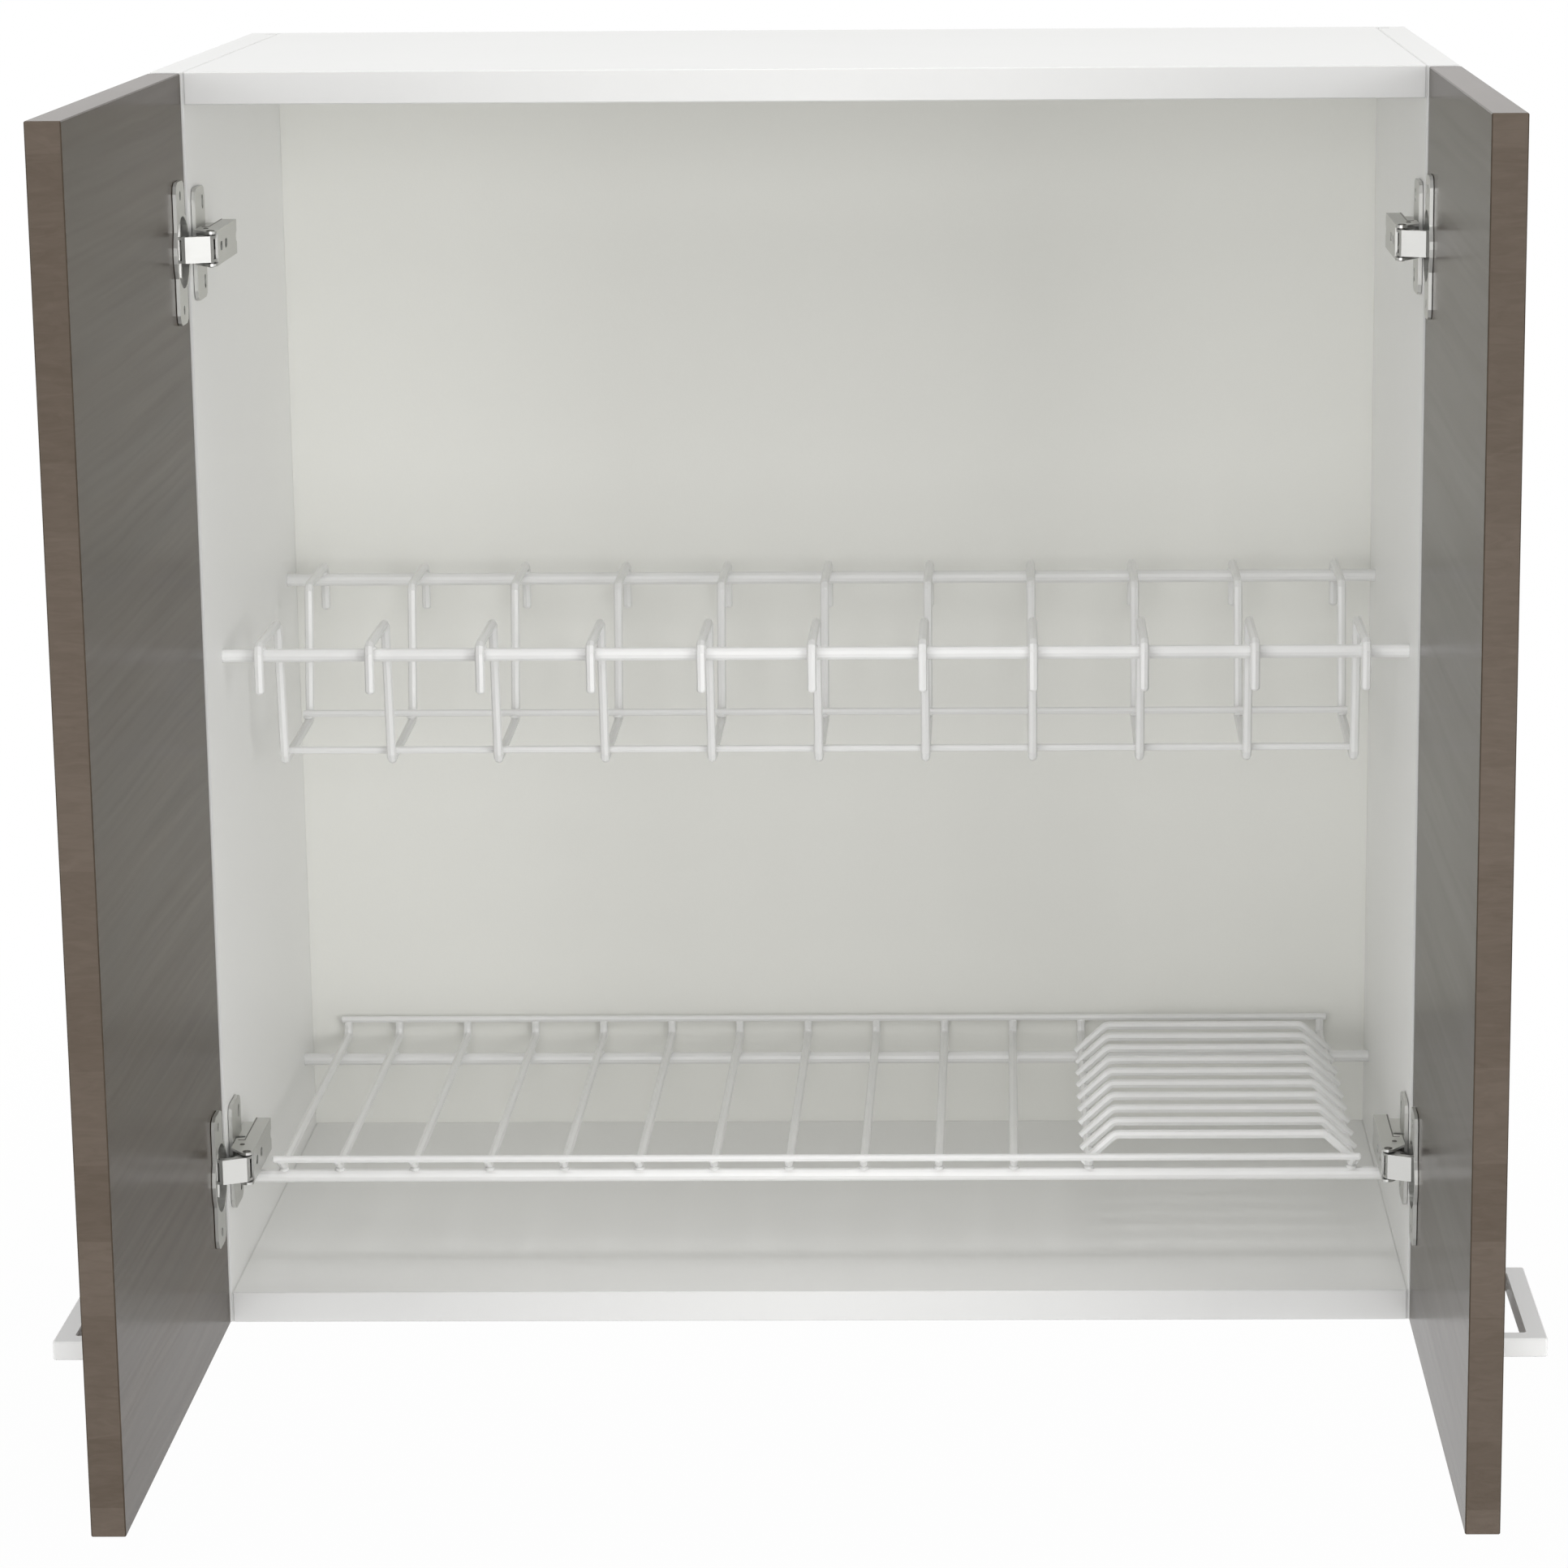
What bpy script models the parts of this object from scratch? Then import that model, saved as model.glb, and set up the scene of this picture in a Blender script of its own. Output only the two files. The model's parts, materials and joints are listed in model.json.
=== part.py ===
"""Kitchen wall cabinet: a board case with two doors on concealed cup hinges, bow handles,
a wire rack for plates and a wire rack for cups and saucers.

The origin is on the wall plane, at the middle of the top panel's rear edge. +X is to the right,
+Y goes into the wall and +Z is up. The doors stand open at a right angle.
"""

import math

import bmesh
import bpy
from mathutils import Matrix, Vector

mm = 0.001

# Case
case_width = 600 * mm
case_height = 600 * mm
case_depth = 320 * mm
board = 15 * mm
board_edge_round = 0.5 * mm
touch = 0.3 * mm
overrun = 4 * mm

# Back sheet, held in a groove all round
back_sheet = 3 * mm
back_recess = 9.5 * mm
groove_depth = 6 * mm

# Keyhole plates let into the rear edges of the sides
hanger_height = 60 * mm
hanger_width = 11 * mm
hanger_thickness = 2 * mm
hanger_drop = 30 * mm
hanger_corner = 2 * mm
keyhole_radius = 4 * mm
keyhole_slot = 4.6 * mm
keyhole_rise = 12 * mm
keyhole_pocket_depth = 6 * mm
keyhole_pocket_side = 1 * mm

# Doors
door_board = 15 * mm
door_margin = 1 * mm
door_middle_gap = 2 * mm
door_reveal = 0.5 * mm
door_closed_gap = 2.8 * mm
door_open_face = 14.3 * mm
door_open_edge = 2.9 * mm
door_edge_round = 0.5 * mm

# Bow handles
handle_centres = 96 * mm
handle_bar = 9 * mm
handle_thickness = 8.5 * mm
handle_projection = 26 * mm
handle_corner = 1 * mm
handle_inset = 71.5 * mm
handle_height = 61.5 * mm
handle_edge_round = 0.5 * mm

# Concealed hinges: heights and pivots. Plan places are measured from the outer face of the side
# and from the front edge of the case.
hinge_from_end = 80 * mm
arm_pivot_in = 26 * mm
arm_pivot_forward = 6.5 * mm
cup_pivot_depth = 2.0 * mm
arm_pin_radius = 1.3 * mm
cup_pin_radius = 1.2 * mm
pin_clearance = 0.35 * mm

# Hinge cup
cup_from_edge = 21 * mm
cup_radius = 17.3 * mm
cup_wall = 0.9 * mm
cup_depth = 11.1 * mm
cup_bottom = 0.9 * mm
flange_thickness = 1.6 * mm
flange_rim = 1.1 * mm
flange_height = 65 * mm
flange_width = 23 * mm
flange_shift = 3.5 * mm
flange_corner = 5 * mm
flange_hole_centres = 52 * mm
flange_hole_radius = 2.2 * mm

# Hinge link, a folded bracket between the two pivots
link_width = 12 * mm
link_sheet = 1.2 * mm
link_web_offset = 3.1 * mm
link_web_from_arm_pivot = 1.4 * mm
link_web_from_cup_pivot = 1.7 * mm
link_arm_eye = 2.4 * mm
link_arm_eye_start = math.radians(130)
link_arm_eye_end = math.radians(270)
link_cup_eye = 2.1 * mm
link_cup_eye_start = math.radians(220)
link_cup_eye_end = math.radians(400)
link_heel_at = 4.5 * mm
link_heel_depth = 1.6 * mm
link_notch_at = 7 * mm
link_notch_floor = 0.5 * mm
link_notch_end = 3.6 * mm

# Hinge arm, a channel open towards the side panel
arm_height = 16 * mm
arm_sheet = 1.2 * mm
arm_outer = 28.8 * mm
arm_step_in = 4 * mm
arm_step_at = 17.3 * mm
arm_length = 54.5 * mm
arm_ear = 3.2 * mm
arm_ear_start = math.radians(200)
arm_ear_end = math.radians(340)
arm_shoulder = 0.5 * mm
arm_slot_length = 6.4 * mm
arm_slot_width = 4.2 * mm
arm_first_slot_at = 7.5 * mm
arm_second_slot_at = 21.5 * mm
arm_notch_radius = 2.4 * mm

# Hinge mounting plate
plate_sheet = 1.8 * mm
plate_line = 30 * mm
plate_wing_height = 52 * mm
plate_wing_start = 8.5 * mm
plate_wing_end = 36.5 * mm
plate_wing_corner = 5 * mm
plate_core_start = 26.5 * mm
plate_core_end = 52.5 * mm
plate_slot_centres = 37 * mm
plate_slot_length = 6.6 * mm
plate_slot_width = 4.6 * mm

# Wire racks: what both share
rail_diameter = 6.4 * mm
rail_front = 50.3 * mm
rail_behind = 44.9 * mm
rail_socket = 5 * mm
wire_diameter = 4.5 * mm
thin_wire_diameter = 3.6 * mm
wire_bend = 4 * mm

# Plate rack
plate_rack_height = 319.6 * mm
plate_frames = 11
plate_rack_left_margin = 18.5 * mm
plate_rack_right_margin = 21.1 * mm
tip_overhang = 9.4 * mm
tip_drop = 21.9 * mm
trough_behind_front_rail = 56.7 * mm
trough_before_back_rail = 53 * mm
front_leg_lean = 9 * mm
back_leg_lean = 13 * mm
trough_depth = 70.8 * mm
trough_base_rise = 3 * mm
lower_wire_end = 2.5 * mm

# Cup rack
cup_rack_height = 59.4 * mm
cup_rack_left_margin = 20.2 * mm
cup_rack_right_margin = 24.5 * mm
first_wire_gap = 27.6 * mm
cup_wires = 11
saucer_span = 128.8 * mm
lip_lean = 10.1 * mm
lip_rise = 5.1 * mm
back_overhang = 27 * mm
back_lip_rise = 7.2 * mm
lip_wire_diameter = 3.6 * mm
lip_end = 3 * mm

# Saucer hoops on the right of the cup rack
hoops = 10
hoop_to_back_rail = 10.6 * mm
hoop_rise = 14.2 * mm
hoop_inset = 12.7 * mm
hoop_end = 3 * mm

# Facets
round_sides = 32
small_sides = 16
bend_steps = 2
arc_step = math.radians(22.5)
smooth_angle = math.radians(35)
bevel_angle = math.radians(60)
wire_resolution = 2
rail_resolution = 4

# Worked out from the sizes above
left_face = -case_width / 2
front_edge = -case_depth
case_top = board / 2
case_bottom = case_top - case_height
inner_half = case_width / 2 - board
back_front = -(back_recess + back_sheet)
door_width = (case_width - door_middle_gap) / 2 - door_margin
door_height = case_height - 2 * door_reveal
rail_radius = rail_diameter / 2
wire_radius = wire_diameter / 2
thin_wire_radius = thin_wire_diameter / 2
lip_wire_radius = lip_wire_diameter / 2
rail_back = case_depth - rail_behind
seat = board + touch
arm_inner = seat + plate_sheet + touch
arm_step_inner = arm_inner + arm_step_in
wire_over_rail = rail_radius + touch + wire_radius


def clear_scene():
    for obj in list(bpy.data.objects):
        bpy.data.objects.remove(obj, do_unlink=True)


def make_material(name, colour, roughness, metallic):
    material = bpy.data.materials.new(name)
    material.use_nodes = True
    shader = material.node_tree.nodes["Principled BSDF"]
    shader.inputs["Base Color"].default_value = (*colour, 1)
    shader.inputs["Roughness"].default_value = roughness
    shader.inputs["Metallic"].default_value = metallic
    return material


def add_object(name, mesh, material, location=(0, 0, 0)):
    """A new object that carries the mesh and its material."""
    obj = bpy.data.objects.new(name, mesh)
    obj.location = location
    bpy.context.scene.collection.objects.link(obj)
    mesh.materials.clear()
    mesh.materials.append(material)
    return obj


def helper(mesh):
    """A shape that only cuts or joins another and is removed afterwards."""
    obj = bpy.data.objects.new("helper", mesh)
    obj.hide_render = True
    obj.display_type = "WIRE"
    bpy.context.scene.collection.objects.link(obj)
    return obj


def mesh_from(build, name="shape"):
    """A mesh of what the function builds in a bmesh, with its faces turned outwards."""
    shape = bmesh.new()
    build(shape)
    bmesh.ops.recalc_face_normals(shape, faces=shape.faces[:])
    mesh = bpy.data.meshes.new(name)
    shape.to_mesh(mesh)
    shape.free()
    return mesh


def box_mesh(low, high, rounding=0.0, segments=1):
    low = Vector(low)
    high = Vector(high)

    def build(shape):
        bmesh.ops.create_cube(shape, size=1)
        bmesh.ops.scale(shape, vec=high - low, verts=shape.verts[:])
        bmesh.ops.translate(shape, vec=(low + high) / 2, verts=shape.verts[:])
        if rounding:
            bmesh.ops.bevel(
                shape, geom=shape.edges[:], offset=rounding, segments=segments,
                affect="EDGES", profile=0.5,
            )

    return mesh_from(build)


def outline_mesh(points, low, high):
    """A plan outline, as points in X and Y, raised from one height to another."""
    def build(shape):
        corners = [shape.verts.new((x, y, low)) for x, y in points]
        face = shape.faces.new(corners)
        raised = bmesh.ops.extrude_face_region(shape, geom=[face])["geom"]
        moved = [item for item in raised if isinstance(item, bmesh.types.BMVert)]
        bmesh.ops.translate(shape, vec=(0, 0, high - low), verts=moved)

    return mesh_from(build)


def cylinder_mesh(start, end, radius, sides=round_sides):
    """A cylinder between two points, with as many flats as it is given sides."""
    start = Vector(start)
    end = Vector(end)
    axis = end - start

    def build(shape):
        turn = Vector((0, 0, 1)).rotation_difference(axis).to_matrix().to_4x4()
        bmesh.ops.create_cone(
            shape, cap_ends=True, segments=sides, radius1=radius, radius2=radius,
            depth=axis.length, matrix=Matrix.Translation((start + end) / 2) @ turn,
        )

    return mesh_from(build)


def turned(mesh, matrix):
    mesh.transform(matrix)
    return mesh


def combine(obj, meshes, operation):
    """Cuts the meshes from the object, or joins them to it, one after another."""
    helpers = [helper(mesh) for mesh in meshes]
    bpy.context.view_layer.update()
    for other in helpers:
        other.matrix_world = obj.matrix_world
        step = obj.modifiers.new(operation.lower(), "BOOLEAN")
        step.operation = operation
        step.solver = "EXACT"
        step.object = other
    bpy.context.view_layer.update()
    graph = bpy.context.evaluated_depsgraph_get()
    result = bpy.data.meshes.new_from_object(obj.evaluated_get(graph))
    obj.modifiers.clear()
    obj.data = result
    for other in helpers:
        bpy.data.objects.remove(other, do_unlink=True)
    return obj


def cut(obj, *meshes):
    return combine(obj, meshes, "DIFFERENCE")


def join(obj, *meshes):
    return combine(obj, meshes, "UNION")


def shade_round(obj):
    """Smooth faces with sharp edges where the surface turns a real corner."""
    obj.data.shade_smooth()
    obj.data.set_sharp_from_angle(angle=smooth_angle)
    return obj


def soften(obj, rounding):
    """A live bevel along the sharp edges."""
    edges = obj.modifiers.new("edges", "BEVEL")
    edges.width = rounding
    edges.segments = 1
    edges.limit_method = "ANGLE"
    edges.angle_limit = bevel_angle
    return obj


def rounded_outline(points, radius, steps=bend_steps):
    """A closed outline whose corners become arcs of the given radius."""
    corners = [Vector(point) for point in points]
    rounded = []
    for index, corner in enumerate(corners):
        rounded += bend(corners[index - 1], corner, corners[(index + 1) % len(corners)], radius, steps)
    return rounded


def bend(before, corner, after, radius, steps):
    """Points on the arc that turns from one straight run into the next."""
    into = (before - corner).normalized()
    out = (after - corner).normalized()
    half = into.angle(out) / 2
    reach = radius / math.tan(half)
    centre = corner + (into + out).normalized() * (radius / math.sin(half))
    start = corner + into * reach - centre
    end = corner + out * reach - centre
    whole = start.angle(end)
    points = []
    for step in range(steps + 1):
        part = whole * step / steps
        blend = start * math.sin(whole - part) + end * math.sin(part)
        points.append(centre + blend / math.sin(whole))
    return points


def arc(centre, radius, first, last):
    """Points on an arc about a plan place, from one heading to another."""
    steps = max(1, round(abs(last - first) / arc_step))
    points = []
    for step in range(steps + 1):
        turn = first + (last - first) * step / steps
        points.append((centre[0] + radius * math.cos(turn), centre[1] + radius * math.sin(turn)))
    return points


def wire_path(points, radius=wire_bend):
    """A wire's centre line: straight runs with an arc at each corner."""
    corners = [Vector(point) for point in points]
    path = [corners[0]]
    for index in range(1, len(corners) - 1):
        path += bend(corners[index - 1], corners[index], corners[index + 1], radius, bend_steps)
    return path + [corners[-1]]


def wire_object(name, path, diameter, material, resolution=wire_resolution):
    """A round wire along a centre line, with closed ends."""
    curve = bpy.data.curves.new(name, "CURVE")
    curve.dimensions = "3D"
    curve.bevel_depth = diameter / 2
    curve.bevel_resolution = resolution
    curve.use_fill_caps = True
    spline = curve.splines.new("POLY")
    spline.points.add(len(path) - 1)
    for point, place in zip(spline.points, path):
        point.co = (*place, 1)
    obj = bpy.data.objects.new(name, curve)
    bpy.context.scene.collection.objects.link(obj)
    curve.materials.append(material)
    return obj


def wire_mesh(path, diameter, resolution=wire_resolution):
    """The closed mesh of such a wire, for joining."""
    obj = wire_object("helper", path, diameter, bpy.data.materials["coated_wire"], resolution)
    bpy.context.view_layer.update()
    graph = bpy.context.evaluated_depsgraph_get()
    mesh = bpy.data.meshes.new_from_object(obj.evaluated_get(graph))
    bpy.data.objects.remove(obj, do_unlink=True)
    shape = bmesh.new()
    shape.from_mesh(mesh)
    bmesh.ops.remove_doubles(shape, verts=shape.verts[:], dist=touch / 100)
    bmesh.ops.recalc_face_normals(shape, faces=shape.faces[:])
    shape.to_mesh(mesh)
    shape.free()
    return mesh


def mirrored(obj, name, parent=None):
    """The right-hand twin of a left-hand piece."""
    mesh = obj.data.copy()
    mesh.transform(Matrix.Diagonal((-1, 1, 1, 1)))
    mesh.flip_normals()
    twin = bpy.data.objects.new(name, mesh)
    twin.location = (-obj.location.x, obj.location.y, obj.location.z)
    twin.rotation_euler = (0, 0, -obj.rotation_euler.z)
    twin.parent = parent
    bpy.context.scene.collection.objects.link(twin)
    return twin


def axis_empty(name, location, angle):
    empty = bpy.data.objects.new(name, None)
    empty.location = location
    empty.rotation_euler = (0, 0, angle)
    bpy.context.scene.collection.objects.link(empty)
    return empty


# Hinge geometry in plan, for the left door

def opened(point):
    """Where a point of the closed door lies when the door stands open at a right angle."""
    x, y = point
    return (y + door_open_face + door_closed_gap, -door_open_edge - (x - door_margin))


def cup_pivot_closed():
    """The cup pivot lies as far from the arm pivot with the door closed as with it open."""
    px = arm_pivot_in
    py = -arm_pivot_forward
    y = -door_closed_gap - cup_pivot_depth
    open_x = y + door_open_face + door_closed_gap
    shift = door_margin - door_open_edge - py
    left = px**2 + (py - y) ** 2 - (open_x - px) ** 2 - shift**2
    return (left / (2 * (px - shift)), y)


def heading(start, end):
    return math.atan2(end[1] - start[1], end[0] - start[0]) % math.tau


arm_pivot = (arm_pivot_in, -arm_pivot_forward)
cup_pivot = cup_pivot_closed()
cup_pivot_open = opened(cup_pivot)
link_length = math.dist(arm_pivot, cup_pivot)
link_open_angle = heading(arm_pivot, cup_pivot_open)
hinge_heights = {
    "upper": case_top - hinge_from_end,
    "lower": case_bottom + hinge_from_end,
}


def plan(x, y, z=0.0):
    """A world place from a plan place on the left side of the case."""
    return (left_face + x, front_edge + y, z)


def build_side(white):
    """The left side panel, with its groove, rail sockets and the seat of the hanging plate."""
    low = (left_face, front_edge, case_bottom)
    high = (left_face + board, 0, case_top)
    side = add_object("side_panel_left", box_mesh(low, high, board_edge_round), white)
    inner = left_face + board
    groove = box_mesh(
        (inner - groove_depth, back_front - touch, case_bottom - overrun),
        (inner + overrun, -back_recess + touch, case_top + overrun),
    )
    cutters = [groove]
    for height in (plate_rack_height, cup_rack_height):
        for place in (rail_front, rail_back):
            centre = plan(board, place, case_bottom + height)
            deep = (inner - rail_socket, centre[1], centre[2])
            mouth = (inner + overrun, centre[1], centre[2])
            cutters.append(cylinder_mesh(deep, mouth, rail_radius + touch, small_sides))
    middle = left_face + board / 2
    top = case_top - hanger_drop
    half = hanger_width / 2 + touch
    cutters.append(box_mesh(
        (middle - half, -hanger_thickness - touch, top - hanger_height - touch),
        (middle + half, overrun, top + touch),
    ))
    pocket = keyhole_radius + keyhole_pocket_side
    cutters.append(box_mesh(
        (middle - pocket, -hanger_thickness - keyhole_pocket_depth, top - hanger_height / 2 - pocket),
        (middle + pocket, 0, top - hanger_height / 2 + keyhole_rise + pocket),
    ))
    return cut(side, *cutters)


def build_hanger(steel):
    """The steel keyhole plate that hooks over a screw in the wall."""
    middle = left_face + board / 2
    top = case_top - hanger_drop
    half = hanger_width / 2
    corners = [(-half, -hanger_height), (half, -hanger_height), (half, 0), (-half, 0)]
    outline = rounded_outline([(x, z) for x, z in corners], hanger_corner)
    mesh = outline_mesh([(x, z) for x, z in outline], 0, hanger_thickness)
    stand = Matrix.Rotation(math.radians(90), 4, "X")
    plate = add_object("hanger_plate_left", turned(mesh, stand), steel, (middle, -touch / 2, top))
    hole = -hanger_height / 2
    near = overrun
    far = -hanger_thickness - overrun
    cut(
        plate,
        cylinder_mesh((0, far, hole), (0, near, hole), keyhole_radius, small_sides),
        box_mesh((-keyhole_slot / 2, far, hole), (keyhole_slot / 2, near, hole + keyhole_rise)),
        cylinder_mesh(
            (0, far, hole + keyhole_rise), (0, near, hole + keyhole_rise), keyhole_slot / 2, small_sides
        ),
    )
    return plate


def build_shelf_panel(name, low_z, high_z, groove_side, white):
    """The top or the bottom panel, between the sides, grooved for the back sheet."""
    reach = inner_half - touch
    panel = add_object(
        name, box_mesh((-reach, front_edge, low_z), (reach, 0, high_z), board_edge_round), white
    )
    if groove_side > 0:
        span = (high_z - groove_depth, high_z + overrun)
    else:
        span = (low_z - overrun, low_z + groove_depth)
    groove = box_mesh(
        (-case_width, back_front - touch, span[0]), (case_width, -back_recess + touch, span[1])
    )
    return cut(panel, groove)


def build_back(sheet):
    reach = inner_half + groove_depth - touch
    low = case_bottom + board - groove_depth + touch
    high = case_top - board + groove_depth - touch
    mesh = box_mesh((-reach, back_front, low), (reach, -back_recess, high))
    return add_object("back_panel", mesh, sheet)


# Hinges on the left side, and on the left door

def build_mounting_plate(name, height, steel):
    """The winged plate on the side panel, with the raised core that carries the arm."""
    wing_z = plate_wing_height / 2
    wing = rounded_outline([
        (plate_wing_start, -wing_z), (plate_wing_end, -wing_z),
        (plate_wing_end, wing_z), (plate_wing_start, wing_z),
    ], plate_wing_corner)
    plate = add_object(name, on_side(wing, seat, seat + plate_sheet), steel, plan(0, 0, height))
    half = arm_height / 2 - arm_sheet - touch
    core = box_mesh(
        (seat, plate_core_start, -half), (arm_outer - arm_sheet - touch, plate_core_end, half)
    )
    join(plate, core)
    slots = []
    reach = (plate_slot_length - plate_slot_width) / 2
    radius = plate_slot_width / 2
    for z in (-plate_slot_centres / 2, plate_slot_centres / 2):
        slot = arc((plate_line, z + reach), radius, 0, math.pi)
        slot += arc((plate_line, z - reach), radius, math.pi, math.tau)
        slots.append(on_side(slot, seat - overrun, seat + plate_sheet + overrun))
    return cut(plate, *slots)


def on_side(outline, low, high):
    """An outline in Y and Z raised along X, as on the left side panel."""
    to_wall = Matrix(((0, 0, 1, 0), (1, 0, 0, 0), (0, 1, 0, 0), (0, 0, 0, 1)))
    return turned(outline_mesh(outline, low, high), to_wall)


def arm_outline():
    """The arm's side walls in plan, with an ear round the arm pivot."""
    ear = arc(arm_pivot, arm_ear, arm_ear_start, arm_ear_end)
    return [
        (arm_inner, arm_shoulder), *ear, (arm_outer, arm_pivot[1]), (arm_outer, arm_length),
        (arm_step_inner, arm_length), (arm_step_inner, arm_step_at + arm_sheet),
        (arm_inner, arm_step_at),
    ]


def build_arm(name, height, steel):
    """The channel that carries the arm pivot, clipped over the mounting plate's core."""
    half = arm_height / 2
    inside = half - arm_sheet
    front = -arm_pivot_forward + arm_ear
    low = arm_inner - overrun
    cover_low = arm_outer - arm_sheet
    cover_high = arm_outer + overrun
    arm = add_object(name, outline_mesh(arm_outline(), -half, half), steel, plan(0, 0, height))
    hollow = outline_mesh([
        (low, -arm_length), (cover_high, -arm_length), (cover_high, front), (cover_low, front),
        (cover_low, arm_length + overrun), (low, arm_length + overrun),
    ], -inside, inside)
    cut(arm, hollow)
    reach = (arm_slot_length - arm_slot_width) / 2
    round_end = arm_slot_width / 2
    for place in (arm_first_slot_at, arm_second_slot_at):
        slot = arc((place + reach, 0), round_end, -math.pi / 2, math.pi / 2)
        slot += arc((place - reach, 0), round_end, math.pi / 2, 3 * math.pi / 2)
        cut(arm, on_side(slot, cover_low - overrun, cover_high))
    notch = arc((arm_length, 0), arm_notch_radius, 0, math.tau)[:-1]
    cut(arm, on_side(notch, cover_low - overrun, cover_high))
    px, py = arm_pivot
    pin = inside + arm_sheet / 2
    return join(arm, cylinder_mesh((px, py, -pin), (px, py, pin), arm_pin_radius, small_sides))


def link_outline():
    """The link's cheeks: along the link from the arm pivot, and out towards the room."""
    outer = link_web_offset + link_sheet
    arm_eye = arc((0, 0), link_arm_eye, link_arm_eye_start, link_arm_eye_end)
    cup_eye = arc((link_length, 0), link_cup_eye, link_cup_eye_start, link_cup_eye_end)
    return [
        (link_web_from_arm_pivot, outer), *arm_eye, (link_heel_at, -link_heel_depth),
        (link_notch_at, link_notch_floor), (link_length - link_notch_end, link_notch_floor),
        *cup_eye, (link_length - link_web_from_cup_pivot, outer),
    ]


def build_link(name, height, steel, parent):
    """The folded bracket that swings on the arm pivot and carries the cup pivot."""
    half = link_width / 2
    inside = half - link_sheet
    link = add_object(name, outline_mesh(link_outline(), -half, half), steel)
    low = -link_arm_eye - overrun
    high = link_length + link_cup_eye + overrun
    hollow = outline_mesh([
        (low, low), (high, low), (high, link_web_offset), (low, link_web_offset),
    ], -inside, inside)
    far = half + overrun
    eye = cylinder_mesh((0, 0, -far), (0, 0, far), arm_pin_radius + pin_clearance, small_sides)
    other = cylinder_mesh(
        (link_length, 0, -far), (link_length, 0, far), cup_pin_radius + pin_clearance, small_sides
    )
    cut(link, hollow, eye, other)
    link.location = (0, 0, height)
    link.parent = parent
    return link


def door_place(x, y, z=0.0):
    """A place on the closed door, measured from the cup pivot, which is the door's axis."""
    return (x - cup_pivot[0], y - cup_pivot[1], z)


def build_cup(name, height, steel, parent):
    """The cup sunk into the door, its screwed flange and the cup pivot across it."""
    centre = door_margin + cup_from_edge
    face = -door_closed_gap
    top = face + touch + flange_thickness
    half = flange_height / 2
    low_x = centre + flange_shift - flange_width / 2
    high_x = centre + flange_shift + flange_width / 2
    corners = [(low_x, -half), (high_x, -half), (high_x, half), (low_x, half)]
    outline = rounded_outline(corners, flange_corner)
    px, py = cup_pivot
    to_face = Matrix(((1, 0, 0, -px), (0, 0, -1, top - py), (0, 1, 0, 0), (0, 0, 0, 1)))
    flange = turned(outline_mesh([(x, z) for x, z in outline], 0, flange_thickness), to_face)
    cup = add_object(name, flange, steel)
    rim = cylinder_mesh(
        door_place(centre, face + touch), door_place(centre, top), cup_radius + flange_rim
    )
    body = cylinder_mesh(
        door_place(centre, face - cup_depth), door_place(centre, top - flange_thickness / 2), cup_radius
    )
    join(cup, rim, body)
    cavity = cylinder_mesh(
        door_place(centre, face - cup_depth + cup_bottom), door_place(centre, top + overrun),
        cup_radius - cup_wall,
    )
    holes = [cavity]
    for side in (-1, 1):
        z = side * flange_hole_centres / 2
        x = centre + flange_shift
        inner = door_place(x, face - overrun, z)
        outer = door_place(x, top + overrun, z)
        holes.append(cylinder_mesh(inner, outer, flange_hole_radius, small_sides))
    cut(cup, *holes)
    across = centre - px
    outer = math.sqrt(cup_radius**2 - across**2)
    inner = math.sqrt((cup_radius - cup_wall) ** 2 - across**2)
    pin = (outer + inner) / 2
    join(cup, cylinder_mesh((0, 0, -pin), (0, 0, pin), cup_pin_radius, small_sides))
    cup.location = (0, 0, height)
    cup.parent = parent
    return cup


def build_door(laminate, parent):
    """The left door, bored for its two hinge cups."""
    low = door_place(door_margin, -door_closed_gap - door_board, case_bottom + door_reveal)
    top = case_bottom + door_reveal + door_height
    high = door_place(door_margin + door_width, -door_closed_gap, top)
    door = add_object("door_left", box_mesh(low, high, door_edge_round), laminate)
    bores = []
    for height in hinge_heights.values():
        centre = door_margin + cup_from_edge
        bores.append(cylinder_mesh(
            door_place(centre, -door_closed_gap - cup_depth - touch, height),
            door_place(centre, overrun, height), cup_radius + touch,
        ))
    cut(door, *bores)
    door.parent = parent
    return door


def build_handle(white, parent):
    """The bow handle by the free bottom corner of the left door."""
    near = door_margin + door_width - handle_inset
    far = near - handle_centres
    face = -door_closed_gap - door_board - touch
    half = handle_bar / 2
    depth = handle_projection - touch
    outer = [
        (far - half, face), (far + half, face), (far + half, face - depth + handle_bar),
        (near - half, face - depth + handle_bar), (near - half, face), (near + half, face),
        (near + half, face - depth), (far - half, face - depth),
    ]
    places = [Vector(door_place(x, y)[:2]) for x, y in outer]
    points = []
    for index, place in enumerate(places):
        if index in (2, 3, 6, 7):
            before = places[index - 1]
            after = places[(index + 1) % len(places)]
            points += bend(before, place, after, handle_corner, bend_steps)
        else:
            points.append(place)
    low = case_bottom + door_reveal + handle_height - handle_thickness / 2
    mesh = outline_mesh([tuple(point) for point in points], low, low + handle_thickness)
    handle = add_object("handle_left", mesh, white)
    handle.parent = parent
    return soften(handle, handle_edge_round)


# Wire racks

def rail(name, place, height, coated):
    """A main rail whose ends lie in the side panels."""
    reach = inner_half + rail_socket - touch
    y = front_edge + place
    z = case_bottom + height
    return wire_object(name, [(-reach, y, z), (reach, y, z)], rail_diameter, coated, rail_resolution)


def straight_wire(name, low_x, high_x, y, z, diameter, coated):
    return wire_object(name, [(low_x, y, z), (high_x, y, z)], diameter, coated)


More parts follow.
